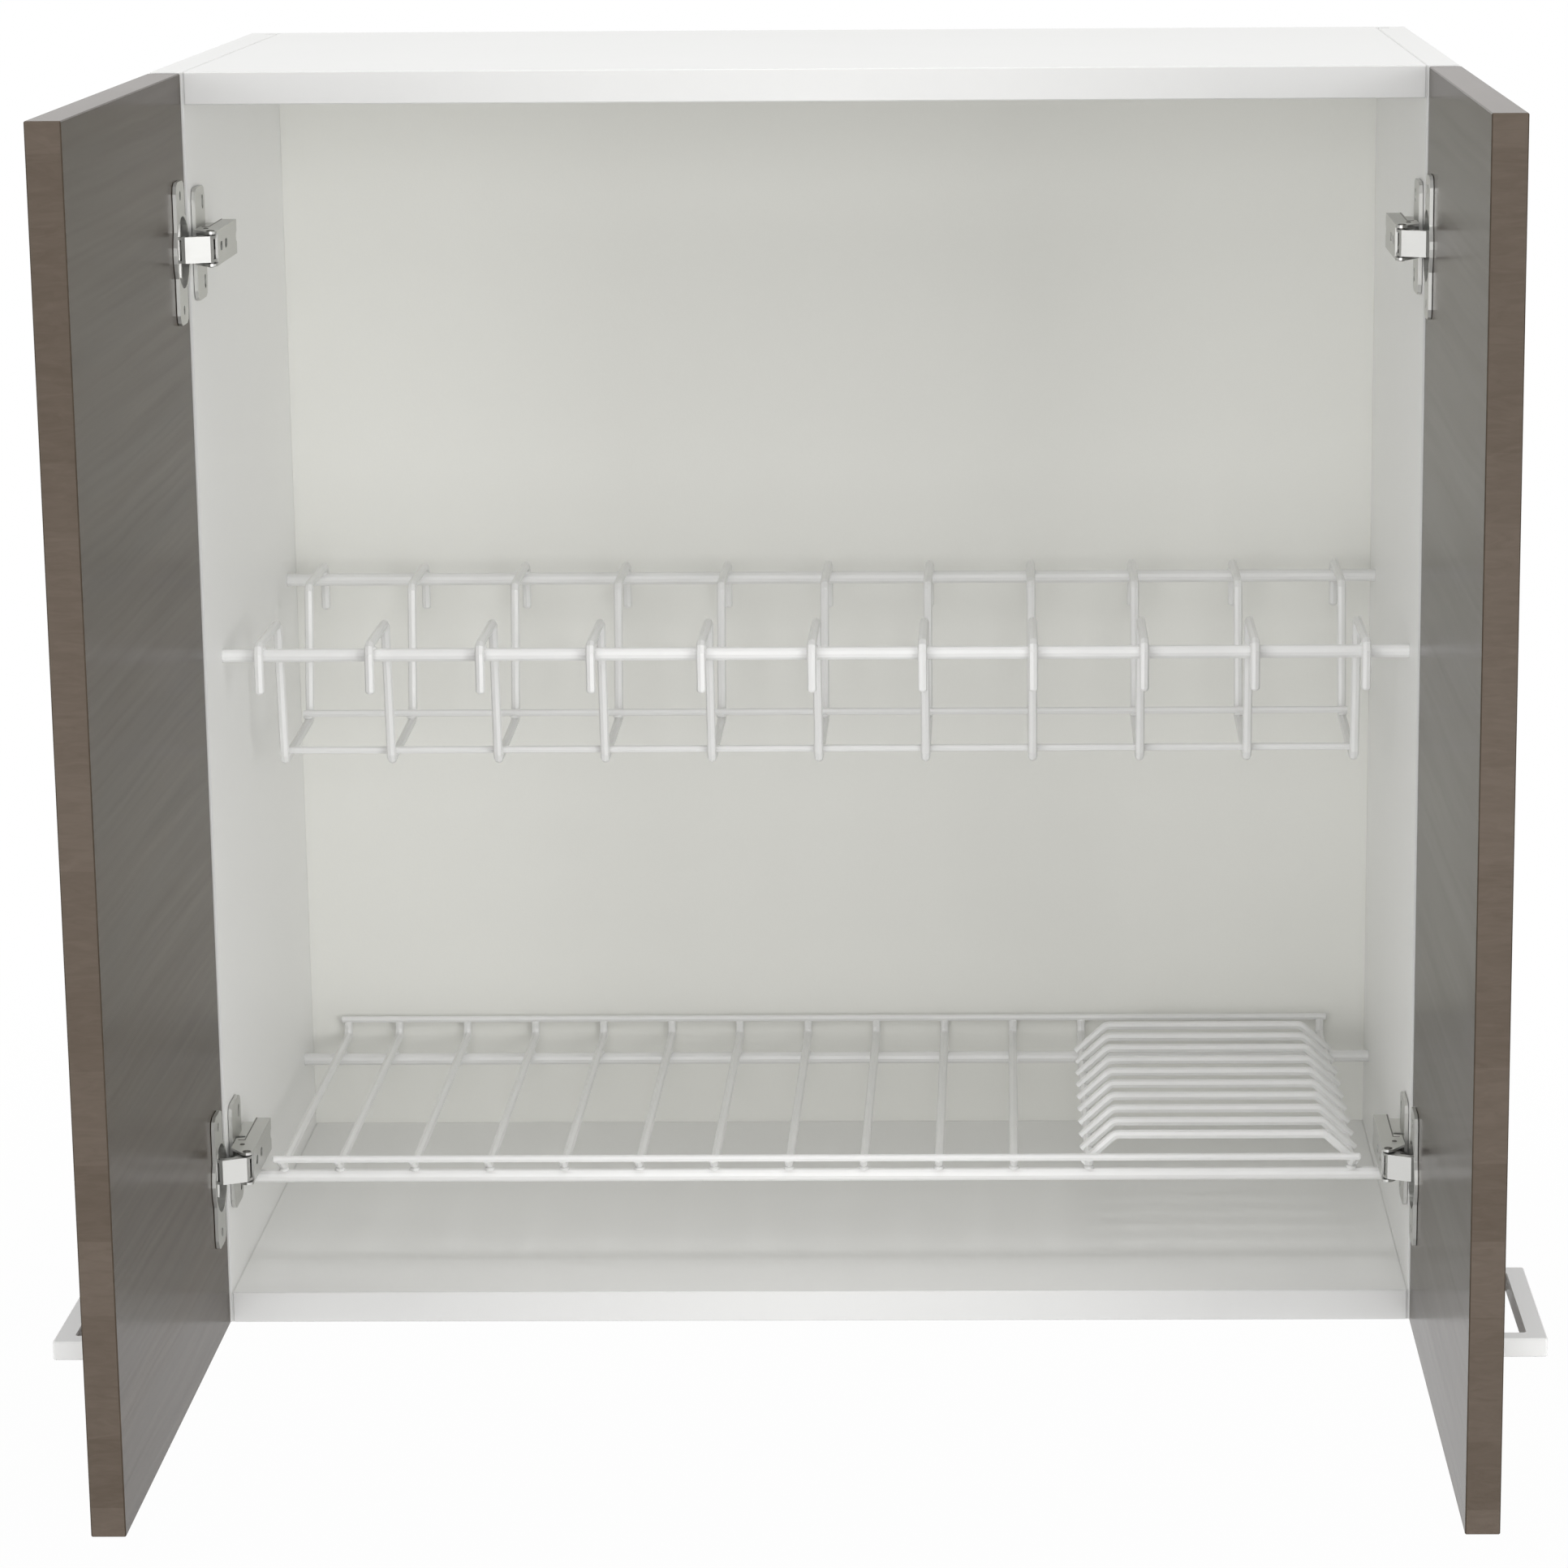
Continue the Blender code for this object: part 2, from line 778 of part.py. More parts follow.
def build_plate_rack(coated):
    """Two rails and two lower wires, with bent frames hung over them to make a trough."""
    rail("plate_rack_front_rail", rail_front, plate_rack_height, coated)
    rail("plate_rack_back_rail", rail_back, plate_rack_height, coated)
    top = case_bottom + plate_rack_height + wire_over_rail
    leg_front = front_edge + rail_front + trough_behind_front_rail
    leg_back = front_edge + rail_back - trough_before_back_rail
    foot_front = leg_front + front_leg_lean
    foot_back = leg_back - back_leg_lean
    base_front = top - trough_depth
    base_back = base_front + trough_base_rise
    tip_front = front_edge + rail_front - tip_overhang
    tip_back = front_edge + rail_back + tip_overhang
    profile = [
        (tip_front, top - tip_drop), (tip_front, top), (leg_front, top), (foot_front, base_front),
        (foot_back, base_back), (leg_back, top), (tip_back, top), (tip_back, top - tip_drop),
    ]
    first = -inner_half + plate_rack_left_margin
    last = inner_half - plate_rack_right_margin
    pitch = (last - first) / (plate_frames - 1)
    for index in range(plate_frames):
        x = first + index * pitch
        path = wire_path([(x, y, z) for y, z in profile])
        wire_object(f"plate_rack_frame_{index + 1:02d}", path, wire_diameter, coated)
    low = first - lower_wire_end
    high = last + lower_wire_end
    rest = wire_radius + touch + thin_wire_radius
    beside = wire_bend + thin_wire_radius
    straight_wire(
        "plate_rack_lower_front_wire", low, high, foot_front + beside, base_front + rest,
        thin_wire_diameter, coated,
    )
    straight_wire(
        "plate_rack_lower_back_wire", low, high, foot_back - beside, base_back + rest,
        thin_wire_diameter, coated,
    )


def cup_wire_path(x):
    """A cross wire: over both rails, up at the back, and up and forward at the front lip."""
    z = case_bottom + cup_rack_height + wire_over_rail
    front = front_edge + rail_front
    back = front_edge + rail_back + back_overhang
    return wire_path([
        (x, front - lip_lean, z + lip_rise), (x, front, z), (x, back, z), (x, back, z + back_lip_rise)
    ])


def build_cup_rack(coated):
    """Two rails with cross wires, a low lip wire front and back, and the saucer hoops."""
    rail("cup_rack_front_rail", rail_front, cup_rack_height, coated)
    rail("cup_rack_back_rail", rail_back, cup_rack_height, coated)
    first = -inner_half + cup_rack_left_margin
    last = inner_half - cup_rack_right_margin
    second = first + first_wire_gap
    saucer_left = last - saucer_span
    pitch = (saucer_left - second) / (cup_wires - 1)
    places = [first] + [second + index * pitch for index in range(cup_wires - 1)]
    for index, x in enumerate(places):
        wire_object(f"cup_rack_wire_{index + 1:02d}", cup_wire_path(x), wire_diameter, coated)
    build_saucer_holder(saucer_left, last, coated)
    z = case_bottom + cup_rack_height + wire_over_rail
    ahead = Vector((-lip_lean, lip_rise)).normalized() * (lip_wire_radius + touch)
    lip_y = front_edge + rail_front - lip_lean + ahead[0]
    lip_z = z + lip_rise + ahead[1]
    low = first - lip_end
    high = last + lip_end
    straight_wire("cup_rack_front_lip_wire", low, high, lip_y, lip_z, lip_wire_diameter, coated)
    straight_wire(
        "cup_rack_back_lip_wire", low, high, front_edge + rail_back + back_overhang,
        z + back_lip_rise + thin_wire_radius + touch, thin_wire_diameter, coated,
    )


def build_saucer_holder(left, right, coated):
    """Two cross wires and the hoops welded across them, which keep saucers apart."""
    z = case_bottom + cup_rack_height + wire_over_rail
    holder = add_object("cup_rack_saucer_holder", wire_mesh(cup_wire_path(left), wire_diameter), coated)
    parts = [wire_mesh(cup_wire_path(right), wire_diameter)]
    hoop_pitch = (rail_back - rail_front - hoop_to_back_rail) / (hoops - 1)
    for index in range(hoops):
        y = front_edge + rail_front + index * hoop_pitch
        parts.append(wire_mesh(wire_path([
            (left - hoop_end, y, z), (left + hoop_inset, y, z + hoop_rise),
            (right - hoop_inset, y, z + hoop_rise), (right + hoop_end, y, z),
        ]), wire_diameter))
    return join(holder, *parts)


def main():
    clear_scene()
    white = make_material("white_board", (0.82, 0.82, 0.79), 0.38, 0.0)
    sheet = make_material("back_sheet", (0.70, 0.70, 0.66), 0.5, 0.0)
    laminate = make_material("taupe_laminate", (0.16, 0.125, 0.10), 0.3, 0.0)
    steel = make_material("nickel_steel", (0.66, 0.66, 0.64), 0.28, 1.0)
    coated = make_material("coated_wire", (0.83, 0.83, 0.81), 0.3, 0.0)
    handle_white = make_material("handle_white", (0.84, 0.84, 0.82), 0.25, 0.0)

    mirrored(build_side(white), "side_panel_right")
    build_shelf_panel("top_panel", case_top - board, case_top, -1, white)
    build_shelf_panel("bottom_panel", case_bottom, case_bottom + board, 1, white)
    build_back(sheet)
    mirrored(build_hanger(steel), "hanger_plate_right")

    link_axis = axis_empty("left_link_axis", plan(*arm_pivot), link_open_angle)
    door_axis = axis_empty("left_door_axis", plan(*cup_pivot_open), -math.radians(90))
    right_link_axis = axis_empty(
        "right_link_axis", (-link_axis.location.x, link_axis.location.y, 0), -link_open_angle
    )
    right_door_axis = axis_empty(
        "right_door_axis", (-door_axis.location.x, door_axis.location.y, 0), math.radians(90)
    )
    for level, height in hinge_heights.items():
        plate = build_mounting_plate(f"hinge_plate_left_{level}", height, steel)
        mirrored(plate, f"hinge_plate_right_{level}")
        arm = shade_round(build_arm(f"hinge_arm_left_{level}", height, steel))
        mirrored(arm, f"hinge_arm_right_{level}")
        link = shade_round(build_link(f"hinge_link_left_{level}", height, steel, link_axis))
        mirrored(link, f"hinge_link_right_{level}", right_link_axis)
        cup = shade_round(build_cup(f"hinge_cup_left_{level}", height, steel, door_axis))
        mirrored(cup, f"hinge_cup_right_{level}", right_door_axis)
    mirrored(build_door(laminate, door_axis), "door_right", right_door_axis)
    handle = build_handle(handle_white, door_axis)
    soften(mirrored(handle, "handle_right", right_door_axis), handle_edge_round)

    build_plate_rack(coated)
    build_cup_rack(coated)


main()
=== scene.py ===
"""Kitchen wall cabinet with two doors and wire racks: finishes, fittings, light and camera.

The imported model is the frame. Each operator finishes or adds one group of pieces.
"""

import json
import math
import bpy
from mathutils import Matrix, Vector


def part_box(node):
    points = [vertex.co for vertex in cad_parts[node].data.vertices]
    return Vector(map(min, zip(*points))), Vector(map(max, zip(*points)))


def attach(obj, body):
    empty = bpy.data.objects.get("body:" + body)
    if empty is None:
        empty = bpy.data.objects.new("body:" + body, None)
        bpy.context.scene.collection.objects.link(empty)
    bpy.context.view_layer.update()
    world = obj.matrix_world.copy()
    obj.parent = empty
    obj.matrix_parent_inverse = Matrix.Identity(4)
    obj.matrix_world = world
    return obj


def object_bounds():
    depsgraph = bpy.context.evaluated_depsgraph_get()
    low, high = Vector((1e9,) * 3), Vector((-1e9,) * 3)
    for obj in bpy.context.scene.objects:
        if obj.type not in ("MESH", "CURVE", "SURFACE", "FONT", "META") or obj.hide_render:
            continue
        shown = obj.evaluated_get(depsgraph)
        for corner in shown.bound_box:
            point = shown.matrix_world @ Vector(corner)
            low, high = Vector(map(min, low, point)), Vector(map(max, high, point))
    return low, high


bl_info = {
    "name": "Wall Cabinet Finishes",
    "version": (1, 0, 0),
    "blender": (4, 5, 0),
    "location": "3D View > Sidebar > Cabinet",
    "description": "Finishes and small fittings for a kitchen wall cabinet",
    "category": "Object",
}

import bmesh
import bpy
from bpy.props import FloatProperty, FloatVectorProperty, IntProperty, PointerProperty
from mathutils import Matrix, Vector

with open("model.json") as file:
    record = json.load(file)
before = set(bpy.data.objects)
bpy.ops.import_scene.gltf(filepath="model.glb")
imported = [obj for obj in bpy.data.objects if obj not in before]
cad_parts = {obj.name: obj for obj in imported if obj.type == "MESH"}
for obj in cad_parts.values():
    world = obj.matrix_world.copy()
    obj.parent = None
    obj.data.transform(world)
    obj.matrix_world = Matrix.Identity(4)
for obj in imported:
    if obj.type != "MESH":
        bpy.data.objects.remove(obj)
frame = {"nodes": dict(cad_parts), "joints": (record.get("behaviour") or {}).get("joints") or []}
cad_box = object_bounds()
nodes = frame["nodes"]

SIDES = ("left", "right")
LEVELS = ("upper", "lower")

# A screw head from its rim to its crown: shares of the radius and of the height.
HEAD_PROFILE = ((1.0, 0.0), (1.0, 0.35), (0.9, 0.72), (0.68, 0.94))
# The cross in a head: its reach and half its width as shares of the radius, and how far its
# floor narrows.
CROSS_REACH, CROSS_HALF, CROSS_TAPER = 0.5, 0.13, 0.75
# A screw's shank: shares of the radius and of the length, with a chamfer at the end.
SHANK_PROFILE = ((1.0, 0.0), (1.0, 0.93), (0.7, 1.0))
SHANK_SHARE = 0.55
# How far the cross is turned in the lower and the upper screw of a pair, and in the front screw
# of an arm.
PLATE_TURNS, FLANGE_TURNS, ARM_TURN = (0.4, 1.4), (0.2, 1.2), 0.9
# A pivot rivet's height, as a share of a screw head's.
RIVET_RISE = 0.6
# The small rivet on an arm: its radius as a share of a pivot rivet's, and its height as a share
# of a screw head's.
SMALL_RIVET, SMALL_RIVET_RISE = 0.6, 0.5
# Where the long seam and the start of the cross seam lie on an arm, as shares of its width from
# the side panel. The small rivet is in line with the long seam.
SEAM_LINE, SEAM_EDGE = 0.4, 0.12

# The coating round a weld, as shares of the bead's radius along X, Y and Z: where a wire lies on
# a rail, hangs from a rail, crosses the front lip and crosses the back lip.
BEAD_ON_RAIL = (0.9, 1.05, 0.42)
BEAD_UNDER_RAIL = (0.85, 0.95, 0.4)
BEAD_AT_FRONT_LIP = (0.85, 0.8, 0.7)
BEAD_AT_BACK_LIP = (0.8, 0.7, 0.45)
# The rounded end of a wire: its radius on a frame and on a lip wire, as shares of the wire's, its
# height as a share of a radius, and its facets and levels.
TIP_SHARE, LIP_TIP_SHARE, TIP_RISE = 0.97, 0.98, 0.6
TIP_FACETS, TIP_LEVELS = 12, 3
# How near to a wire's middle line a vertex counts as part of the wire's end.
WIRE_REACH = 0.003

# The line of glue behind the edge band: where it ends, in bands, and how strongly it shows.
GLUE_REACH, GLUE_STRENGTH = 1.2, 0.35
# A face counts as a rear one from this share of its normal along Y on. It is bare on a board
# where it lies within so many metres of the wall.
FACES_REAR, REAR_DEPTH = 0.7, 0.002
# How much darker the dim patches of the pale finishes are.
BOARD_DIM, SHEET_DIM, FLECK_DIM, PLATING_DIM = 0.965, 0.955, 0.8, 0.965
WIRE_DIM, HANDLE_DIM, FLOOR_DIM = 0.96, 0.97, 0.99
# How fine the lines in the plating are along X, Y and Z, on the folded parts and on the screws.
ROLLED_LINES, SCREW_LINES = (60, 60, 1800), (900, 900, 900)
# How open a place is, as a share, where the painted shade of a corner starts to fade and where it
# has gone.
FULL_SHADE_UNTIL, NO_SHADE_FROM = 0.12, 0.58
# Bare chips and fibres: how many lie on a metre, their squeeze along X, Y and Z, and the darkest
# and the palest of them, as shares of their colour.
CHIPS_PER_METRE, CHIP_SQUEEZE, CHIP_DARK, CHIP_PALE = 420, (1.0, 1.0, 2.2), 0.55, 1.45
FIBRES_PER_METRE, FIBRE_SQUEEZE, FIBRE_DARK, FIBRE_PALE = 260.0, (1.0, 1.0, 0.35), 0.6, 1.5

# The laminate's faces: how far the grain wanders up and down in metres, how fine its lines and its
# slow flow are along X, Y and Z, and the flow's share in the colour.
GRAIN_WANDER, GRAIN_LINES, GRAIN_FLOW, FLOW_SHARE = 0.007, (14, 3.5, 260), (8, 1.5, 34), 0.6
# The weakest and the strongest reflections in the grain, as shares of the gloss.
PORE_GLOSS, RIDGE_GLOSS = 0.55, 1.45
# The laminate's edges: what counts as an edge, up to this share of its normal along X, how many
# bands lie on a metre, how fine the waves in them are, and the waves' share in the colour.
EDGES_FACE, BANDS_PER_METRE, BAND_WAVES, WAVE_SHARE = 0.5, 26, (60, 60, 260), 0.55

# The lamps: name, place, and the side of the lit square, in metres.
LAMPS = (
    ("centre", (0.0, -3.4, -0.1), 1.4), ("right", (1.7, -3.0, -0.1), 1.4),
    ("left", (-1.7, -3.0, -0.1), 1.4), ("high", (0.1, -3.0, 1.5), 1.4),
    ("top", (0.0, -0.6, 2.9), 2.0), ("rear", (0.8, 3.2, -0.9), 1.4),
)
LAMP_TARGET = (0.0, -0.2, -0.3)
# The lamps that mirrors and gloss don't show.
HIDDEN_LAMPS = ("high", "rear")

# The camera: its place in metres and its turns in degrees. The picture's side, the camera's reach
# and the picture's centre share one unit. The sensor's side is in millimetres, the far limit in
# metres.
CAMERA_PLACE = (0.090337, -2.633878, 0.150319)
CAMERA_PITCH, CAMERA_YAW, CAMERA_ROLL = 13.325, -0.777, 0.374
PICTURE_SIDE = 1932.0
CAMERA_REACH = 6154.628
PICTURE_CENTRE = (1156.0, 1145.801)
SENSOR_SIDE = 36.0
FAR_LIMIT = 60.0

# The floor: half its side, and the two distances from its middle between which its plain glow
# rises, in metres. Near the middle a share of the shading stays, for the cabinet's shadow.
FLOOR_HALF = 9.0
FADE_START, FADE_END = 1.3, 3.2
GLOW_NEAR, GLOW_FAR = 0.96, 1.0


# Settings

def tint(name, description, default):
    return FloatVectorProperty(
        name=name, description=description, default=default, size=3, min=0.0, max=1.0,
        subtype="COLOR",
    )


def length(name, description, default):
    return FloatProperty(
        name=name, description=description, default=default, min=0.0, unit="LENGTH", precision=5
    )


def fraction(name, description, default):
    return FloatProperty(name=name, description=description, default=default, min=0.0, max=1.0)


def power(name, description, default):
    return FloatProperty(name=name, description=description, default=default, min=0.0, unit="POWER")


class BoardFinish(bpy.types.PropertyGroup):
    melamine: tint("Melamine", "Colour of the white board faces", (0.88, 0.88, 0.865))
    band: tint("Edge band", "Colour of the band on the front edges", (0.69, 0.69, 0.68))
    hardboard: tint("Back sheet", "Colour of the back sheet's lacquered front", (0.82, 0.82, 0.78))
    raw_fibre: tint("Raw fibre", "Colour of the bare rear of the back sheet", (0.23, 0.13, 0.065))
    raw_chip: tint("Raw chipboard", "Colour of the bare rear edges", (0.42, 0.29, 0.17))
    seam: tint("Band seam", "Colour of the line of glue behind the edge band", (0.42, 0.41, 0.38))
    band_depth: length("Band thickness", "Thickness of the edge band", 0.0008)
    joint_sink: length("Joint sink", "How deep the glue of a corner lies under the faces", 0.00006)
    roughness: fraction("Roughness", "Roughness of the faces", 0.36)


class LaminateFinish(bpy.types.PropertyGroup):
    dark: tint("Dark grain", "Colour of the dark lines in the grain", (0.051, 0.0395, 0.0295))
    middle: tint("Middle grain", "Main colour of the laminate", (0.069, 0.0535, 0.040))
    pale: tint("Pale grain", "Colour of the pale lines in the grain", (0.092, 0.0725, 0.055))
    edge_dark: tint("Dark band", "Colour of the dark bands on the edges", (0.091, 0.072, 0.056))
    edge_pale: tint("Pale band", "Colour of the pale bands on the edges", (0.126, 0.102, 0.083))
    roughness: fraction("Roughness", "Roughness of the faces", 0.19)
    gloss: fraction("Gloss", "Strength of the reflections", 0.034)


class SteelFinish(bpy.types.PropertyGroup):
    nickel: tint("Nickel", "Colour of the plated hinges", (0.60, 0.60, 0.58))
    # Painted shade: the screws are near black to stand in for the dark slots they sit in.
    screw: tint("Screws", "Colour of the screws sunk in the hinges", (0.13, 0.125, 0.115))
    # Painted shade: the plating is darkened towards this colour in corners and slots, as far as the
    # reach below.
    painted_crevice_shade: tint("Crevices", "Colour of the plating in corners and slots", (0.11, 0.105, 0.10))
    painted_shade_reach: length("Crevice reach", "How far a corner darkens the plating round it", 0.0035)
    roughness: fraction("Roughness", "Roughness of the plating", 0.34)
    link: tint("Links", "Colour of the plating on the folded links", (0.54, 0.54, 0.525))
    link_roughness: fraction("Link roughness", "Roughness of the links", 0.5)


class FittingSizes(bpy.types.PropertyGroup):
    plate_line: length("Plate screw line", "From a mounting plate's front to its screws", 0.0215)
    plate_screw: length("Plate screw", "Head radius of the mounting plates' screws", 0.0021)
    plate_spacing: length("Plate screw spacing", "Half the distance between the screws", 0.0185)
    flange_line: length("Flange screw line", "From a cup flange's front to its screws", 0.0149)
    flange_screw: length("Flange screw", "Head radius of the screws in the cup flanges", 0.0020)
    flange_spacing: length("Flange screw spacing", "Half the distance between the screws", 0.026)
    flange_sink: length("Flange screw sink", "How deep the screws lie in the flange", 0.0014)
    arm_front: length("Arm front", "From the case's front to the first screw in an arm", 0.0075)
    arm_pitch: length("Arm screw pitch", "From an arm's first screw to the second", 0.014)
    arm_screw: length("Arm screw", "Head radius of the adjusting screws in the arms", 0.0030)
    arm_sink: length("Arm screw sink", "How deep the screws lie under the arm's face", 0.0026)
    arm_shank: length("Arm screw shank", "Length of the adjusting screws", 0.0105)
    # The arm's seams and small rivet are drawn in the near-black screw finish: painted dark lines
    # of shade.
    seam_width: length("Arm seam", "Width of the pressed seams on the arms", 0.0007)
    seam_rise: length("Arm seam height", "Height of the pressed seams on the arms", 0.00018)
    seam_start: length("Arm seam start", "From the case's front to the seam across an arm", 0.014)
    arm_rivet: length("Arm rivet place", "From the case's front to the rivet on an arm", 0.006)
    head_rise: length("Head height", "Height of a screw head", 0.0010)
    recess_depth: length("Recess depth", "Depth of the cross in a screw head", 0.0007)
    rivet: length("Rivet", "Head radius of the pivot rivets", 0.0021)
    bead: length("Weld bead", "Radius of the coating round a weld", 0.0030)
    bead_lift: length("Bead lift", "How far a weld bead lies outside its wire", 0.0002)
    lip_bead_back: length("Lip bead place", "How far the bead lies behind the front lip", 0.0012)
    lip_bead_drop: length("Lip bead drop", "How far the bead lies under the front lip", 0.0008)
    wire: length("Wire", "Radius of the bent rack wires", 0.00225)
    hoop_reach: length("Hoop reach", "How far the hoops reach past their wires", 0.0045)
    clearance: length("Clearance", "Room between a fitting and what it lies on", 0.0001)
    facets: IntProperty(
        name="Facets", description="Facets round a screw head", default=28, min=12, max=64
    )


class WireFinish(bpy.types.PropertyGroup):
    coating: tint("Coating", "Colour of the plastic coating on the wires", (0.82, 0.82, 0.81))
    roughness: fraction("Roughness", "Roughness of the coating", 0.3)


class HandleFinish(bpy.types.PropertyGroup):
    lacquer: tint("Lacquer", "Colour of the bow handles", (0.85, 0.85, 0.84))
    roughness: fraction("Roughness", "Roughness of the lacquer", 0.26)


class StudioSetup(bpy.types.PropertyGroup):
    floor_drop: length("Floor drop", "How far the floor lies below the cabinet", 0.55)
    floor_tint: tint("Floor", "Colour of the plain floor", (0.86, 0.86, 0.86))
    sky: fraction("Sky", "Strength of the even light from all round", 0.4)
    centre: power("Centre lamp", "Power of the lamp straight in front", 12.5)
    right: power("Right lamp", "Power of the lamp in front on the right", 31.0)
    left: power("Left lamp", "Power of the lamp in front on the left", 20.5)
    high: power("High lamp", "Power of the raised lamp in front", 15.0)
    top: power("Top lamp", "Power of the lamp above", 42.0)
    rear: power("Rear lamp", "Power of the lamp behind", 30.0)


SETTINGS = {
    "cabinet_boards": BoardFinish,
    "cabinet_laminate": LaminateFinish,
    "cabinet_steel": SteelFinish,
    "cabinet_fittings": FittingSizes,
    "cabinet_wire": WireFinish,
    "cabinet_handles": HandleFinish,
    "cabinet_studio": StudioSetup,
}


# Materials

class Sheet:
    """A material's node tree with short calls for the nodes that the finishes use."""

    def __init__(self, name):
        self.material = bpy.data.materials.new(name)
        self.material.use_nodes = True
        self.tree = self.material.node_tree
        self.shader = self.tree.nodes["Principled BSDF"]
        coordinates = self.add("ShaderNodeTexCoord")
        self.place = coordinates.outputs["Object"]
        self.normal = coordinates.outputs["Normal"]

    def add(self, kind, **settings):
        node = self.tree.nodes.new(kind)
        for name, value in settings.items():
            setattr(node, name, value)
        return node

    def feed(self, socket, value):
        """Links an output to a socket, or writes a plain value on it."""
        if isinstance(value, bpy.types.NodeSocket):
            self.tree.links.new(value, socket)
        elif hasattr(value, "__len__") and len(value) == 3 and socket.type == "RGBA":
            socket.default_value = (*value, 1)
        else:
            socket.default_value = value

    def stretched(self, scale, source=None):
        """The object's own coordinates, stretched along the axes."""
        mapping = self.add("ShaderNodeMapping")
        self.feed(mapping.inputs["Vector"], source or self.place)
        mapping.inputs["Scale"].default_value = scale
        return mapping.outputs["Vector"]

    def noise(self, scale, detail=3.0, roughness=0.5, distortion=0.0, vector=None):
        node = self.add("ShaderNodeTexNoise")
        self.feed(node.inputs["Vector"], vector or self.place)
        node.inputs["Scale"].default_value = scale
        node.inputs["Detail"].default_value = detail
        node.inputs["Roughness"].default_value = roughness
        node.inputs["Distortion"].default_value = distortion
        return node.outputs["Fac"]

    def ramp(self, source, *stops):
        """A colour ramp; each stop is a position and a colour or a grey."""
        node = self.add("ShaderNodeValToRGB")
        self.feed(node.inputs["Fac"], source)
        elements = node.color_ramp.elements
        while len(elements) < len(stops):
            elements.new(0.5)
        for element, (position, colour) in zip(elements, stops):
            element.position = position
            channels = colour if hasattr(colour, "__len__") else (colour, colour, colour)
            element.color = (*channels, 1)
        return node.outputs["Color"]

    def span(self, source, low, high):
        """A value moved from the range 0 to 1 into another range."""
        node = self.add("ShaderNodeMapRange")
        self.feed(node.inputs["Value"], source)
        node.inputs["To Min"].default_value = low
        node.inputs["To Max"].default_value = high
        return node.outputs["Result"]

    def calculate(self, operation, first, second=0.0):
        node = self.add("ShaderNodeMath", operation=operation)
        self.feed(node.inputs[0], first)
        self.feed(node.inputs[1], second)
        return node.outputs["Value"]

    def mix(self, share, first, second):
        """A blend of two colours or greys: the first at share 0, the second at share 1."""
        node = self.add("ShaderNodeMix", data_type="RGBA")
        self.feed(node.inputs["Factor"], share)
        colours = [socket for socket in node.inputs if socket.enabled and socket.type == "RGBA"]
        self.feed(colours[0], first)
        self.feed(colours[1], second)
        return next(s for s in node.outputs if s.enabled and s.type == "RGBA")

    def axis(self, vector, name):
        """One of the three parts of a vector or a colour."""
        node = self.add("ShaderNodeSeparateXYZ")
        self.feed(node.inputs["Vector"], vector)
        return node.outputs[name]

    def open_share(self, reach):
        """How open the surroundings of a place are: 0 deep in a corner, 1 on a free face."""
        node = self.add("ShaderNodeAmbientOcclusion", samples=16)
        node.inputs["Distance"].default_value = reach
        return node.outputs["AO"]

    def bump(self, height, strength, distance):
        node = self.add("ShaderNodeBump")
        node.inputs["Strength"].default_value = strength
        node.inputs["Distance"].default_value = distance
        self.feed(node.inputs["Height"], height)
        self.feed(self.shader.inputs["Normal"], node.outputs["Normal"])

    def set(self, **values):
        for name, value in values.items():
            self.feed(self.shader.inputs[name.replace("_", " ")], value)
        return self.material


def scaled(colour, share):
    """A colour made darker or paler."""
    return tuple(min(1.0, channel * share) for channel in colour)


def chipboard(sheet, colour):
    """Bare chipboard: pale and dark chips in the given colour."""
    chips = sheet.add("ShaderNodeTexVoronoi", feature="F1")
    sheet.feed(chips.inputs["Vector"], sheet.stretched(CHIP_SQUEEZE))
    chips.inputs["Scale"].default_value = CHIPS_PER_METRE
    shade = sheet.axis(chips.outputs["Color"], "X")
    dark, pale = scaled(colour, CHIP_DARK), scaled(colour, CHIP_PALE)
    return sheet.ramp(shade, (0.0, dark), (0.45, colour), (1.0, pale))


def melamine_white(settings):
    """White faced board: a fine pearl in the face, a banded front edge and bare rear edges."""
    sheet = Sheet("melamine_white")
    cloud = sheet.noise(scale=5.0, detail=4.0, roughness=0.6)
    white = tuple(settings.melamine)
    face = sheet.mix(sheet.span(cloud, 0.0, 0.3), white, scaled(white, BOARD_DIM))
    depth = sheet.axis(sheet.place, "Y")
    front = front_of_case()
    banded = sheet.calculate("LESS_THAN", depth, front + settings.band_depth)
    glue_start = sheet.calculate("GREATER_THAN", depth, front + settings.band_depth)
    glue_end = sheet.calculate("LESS_THAN", depth, front + settings.band_depth * GLUE_REACH)
    glue = sheet.calculate("MULTIPLY", glue_start, glue_end)
    colour = sheet.mix(banded, face, tuple(settings.band))
    strength = sheet.calculate("MULTIPLY", glue, GLUE_STRENGTH)
    colour = sheet.mix(strength, colour, tuple(settings.seam))
    rear = sheet.calculate("GREATER_THAN", sheet.axis(sheet.normal, "Y"), FACES_REAR)
    at_rear = sheet.calculate("GREATER_THAN", depth, -REAR_DEPTH)
    bare = sheet.calculate("MULTIPLY", rear, at_rear)
    colour = sheet.mix(bare, colour, chipboard(sheet, tuple(settings.raw_chip)))
    pearl = sheet.noise(scale=1400.0, detail=2.0)
    sheet.bump(pearl, strength=0.06, distance=0.0004)
    smudge = sheet.noise(scale=9.0, detail=5.0, roughness=0.7)
    rough = sheet.span(smudge, settings.roughness - 0.05, settings.roughness + 0.09)
    return sheet.set(Base_Color=colour, Roughness=rough)


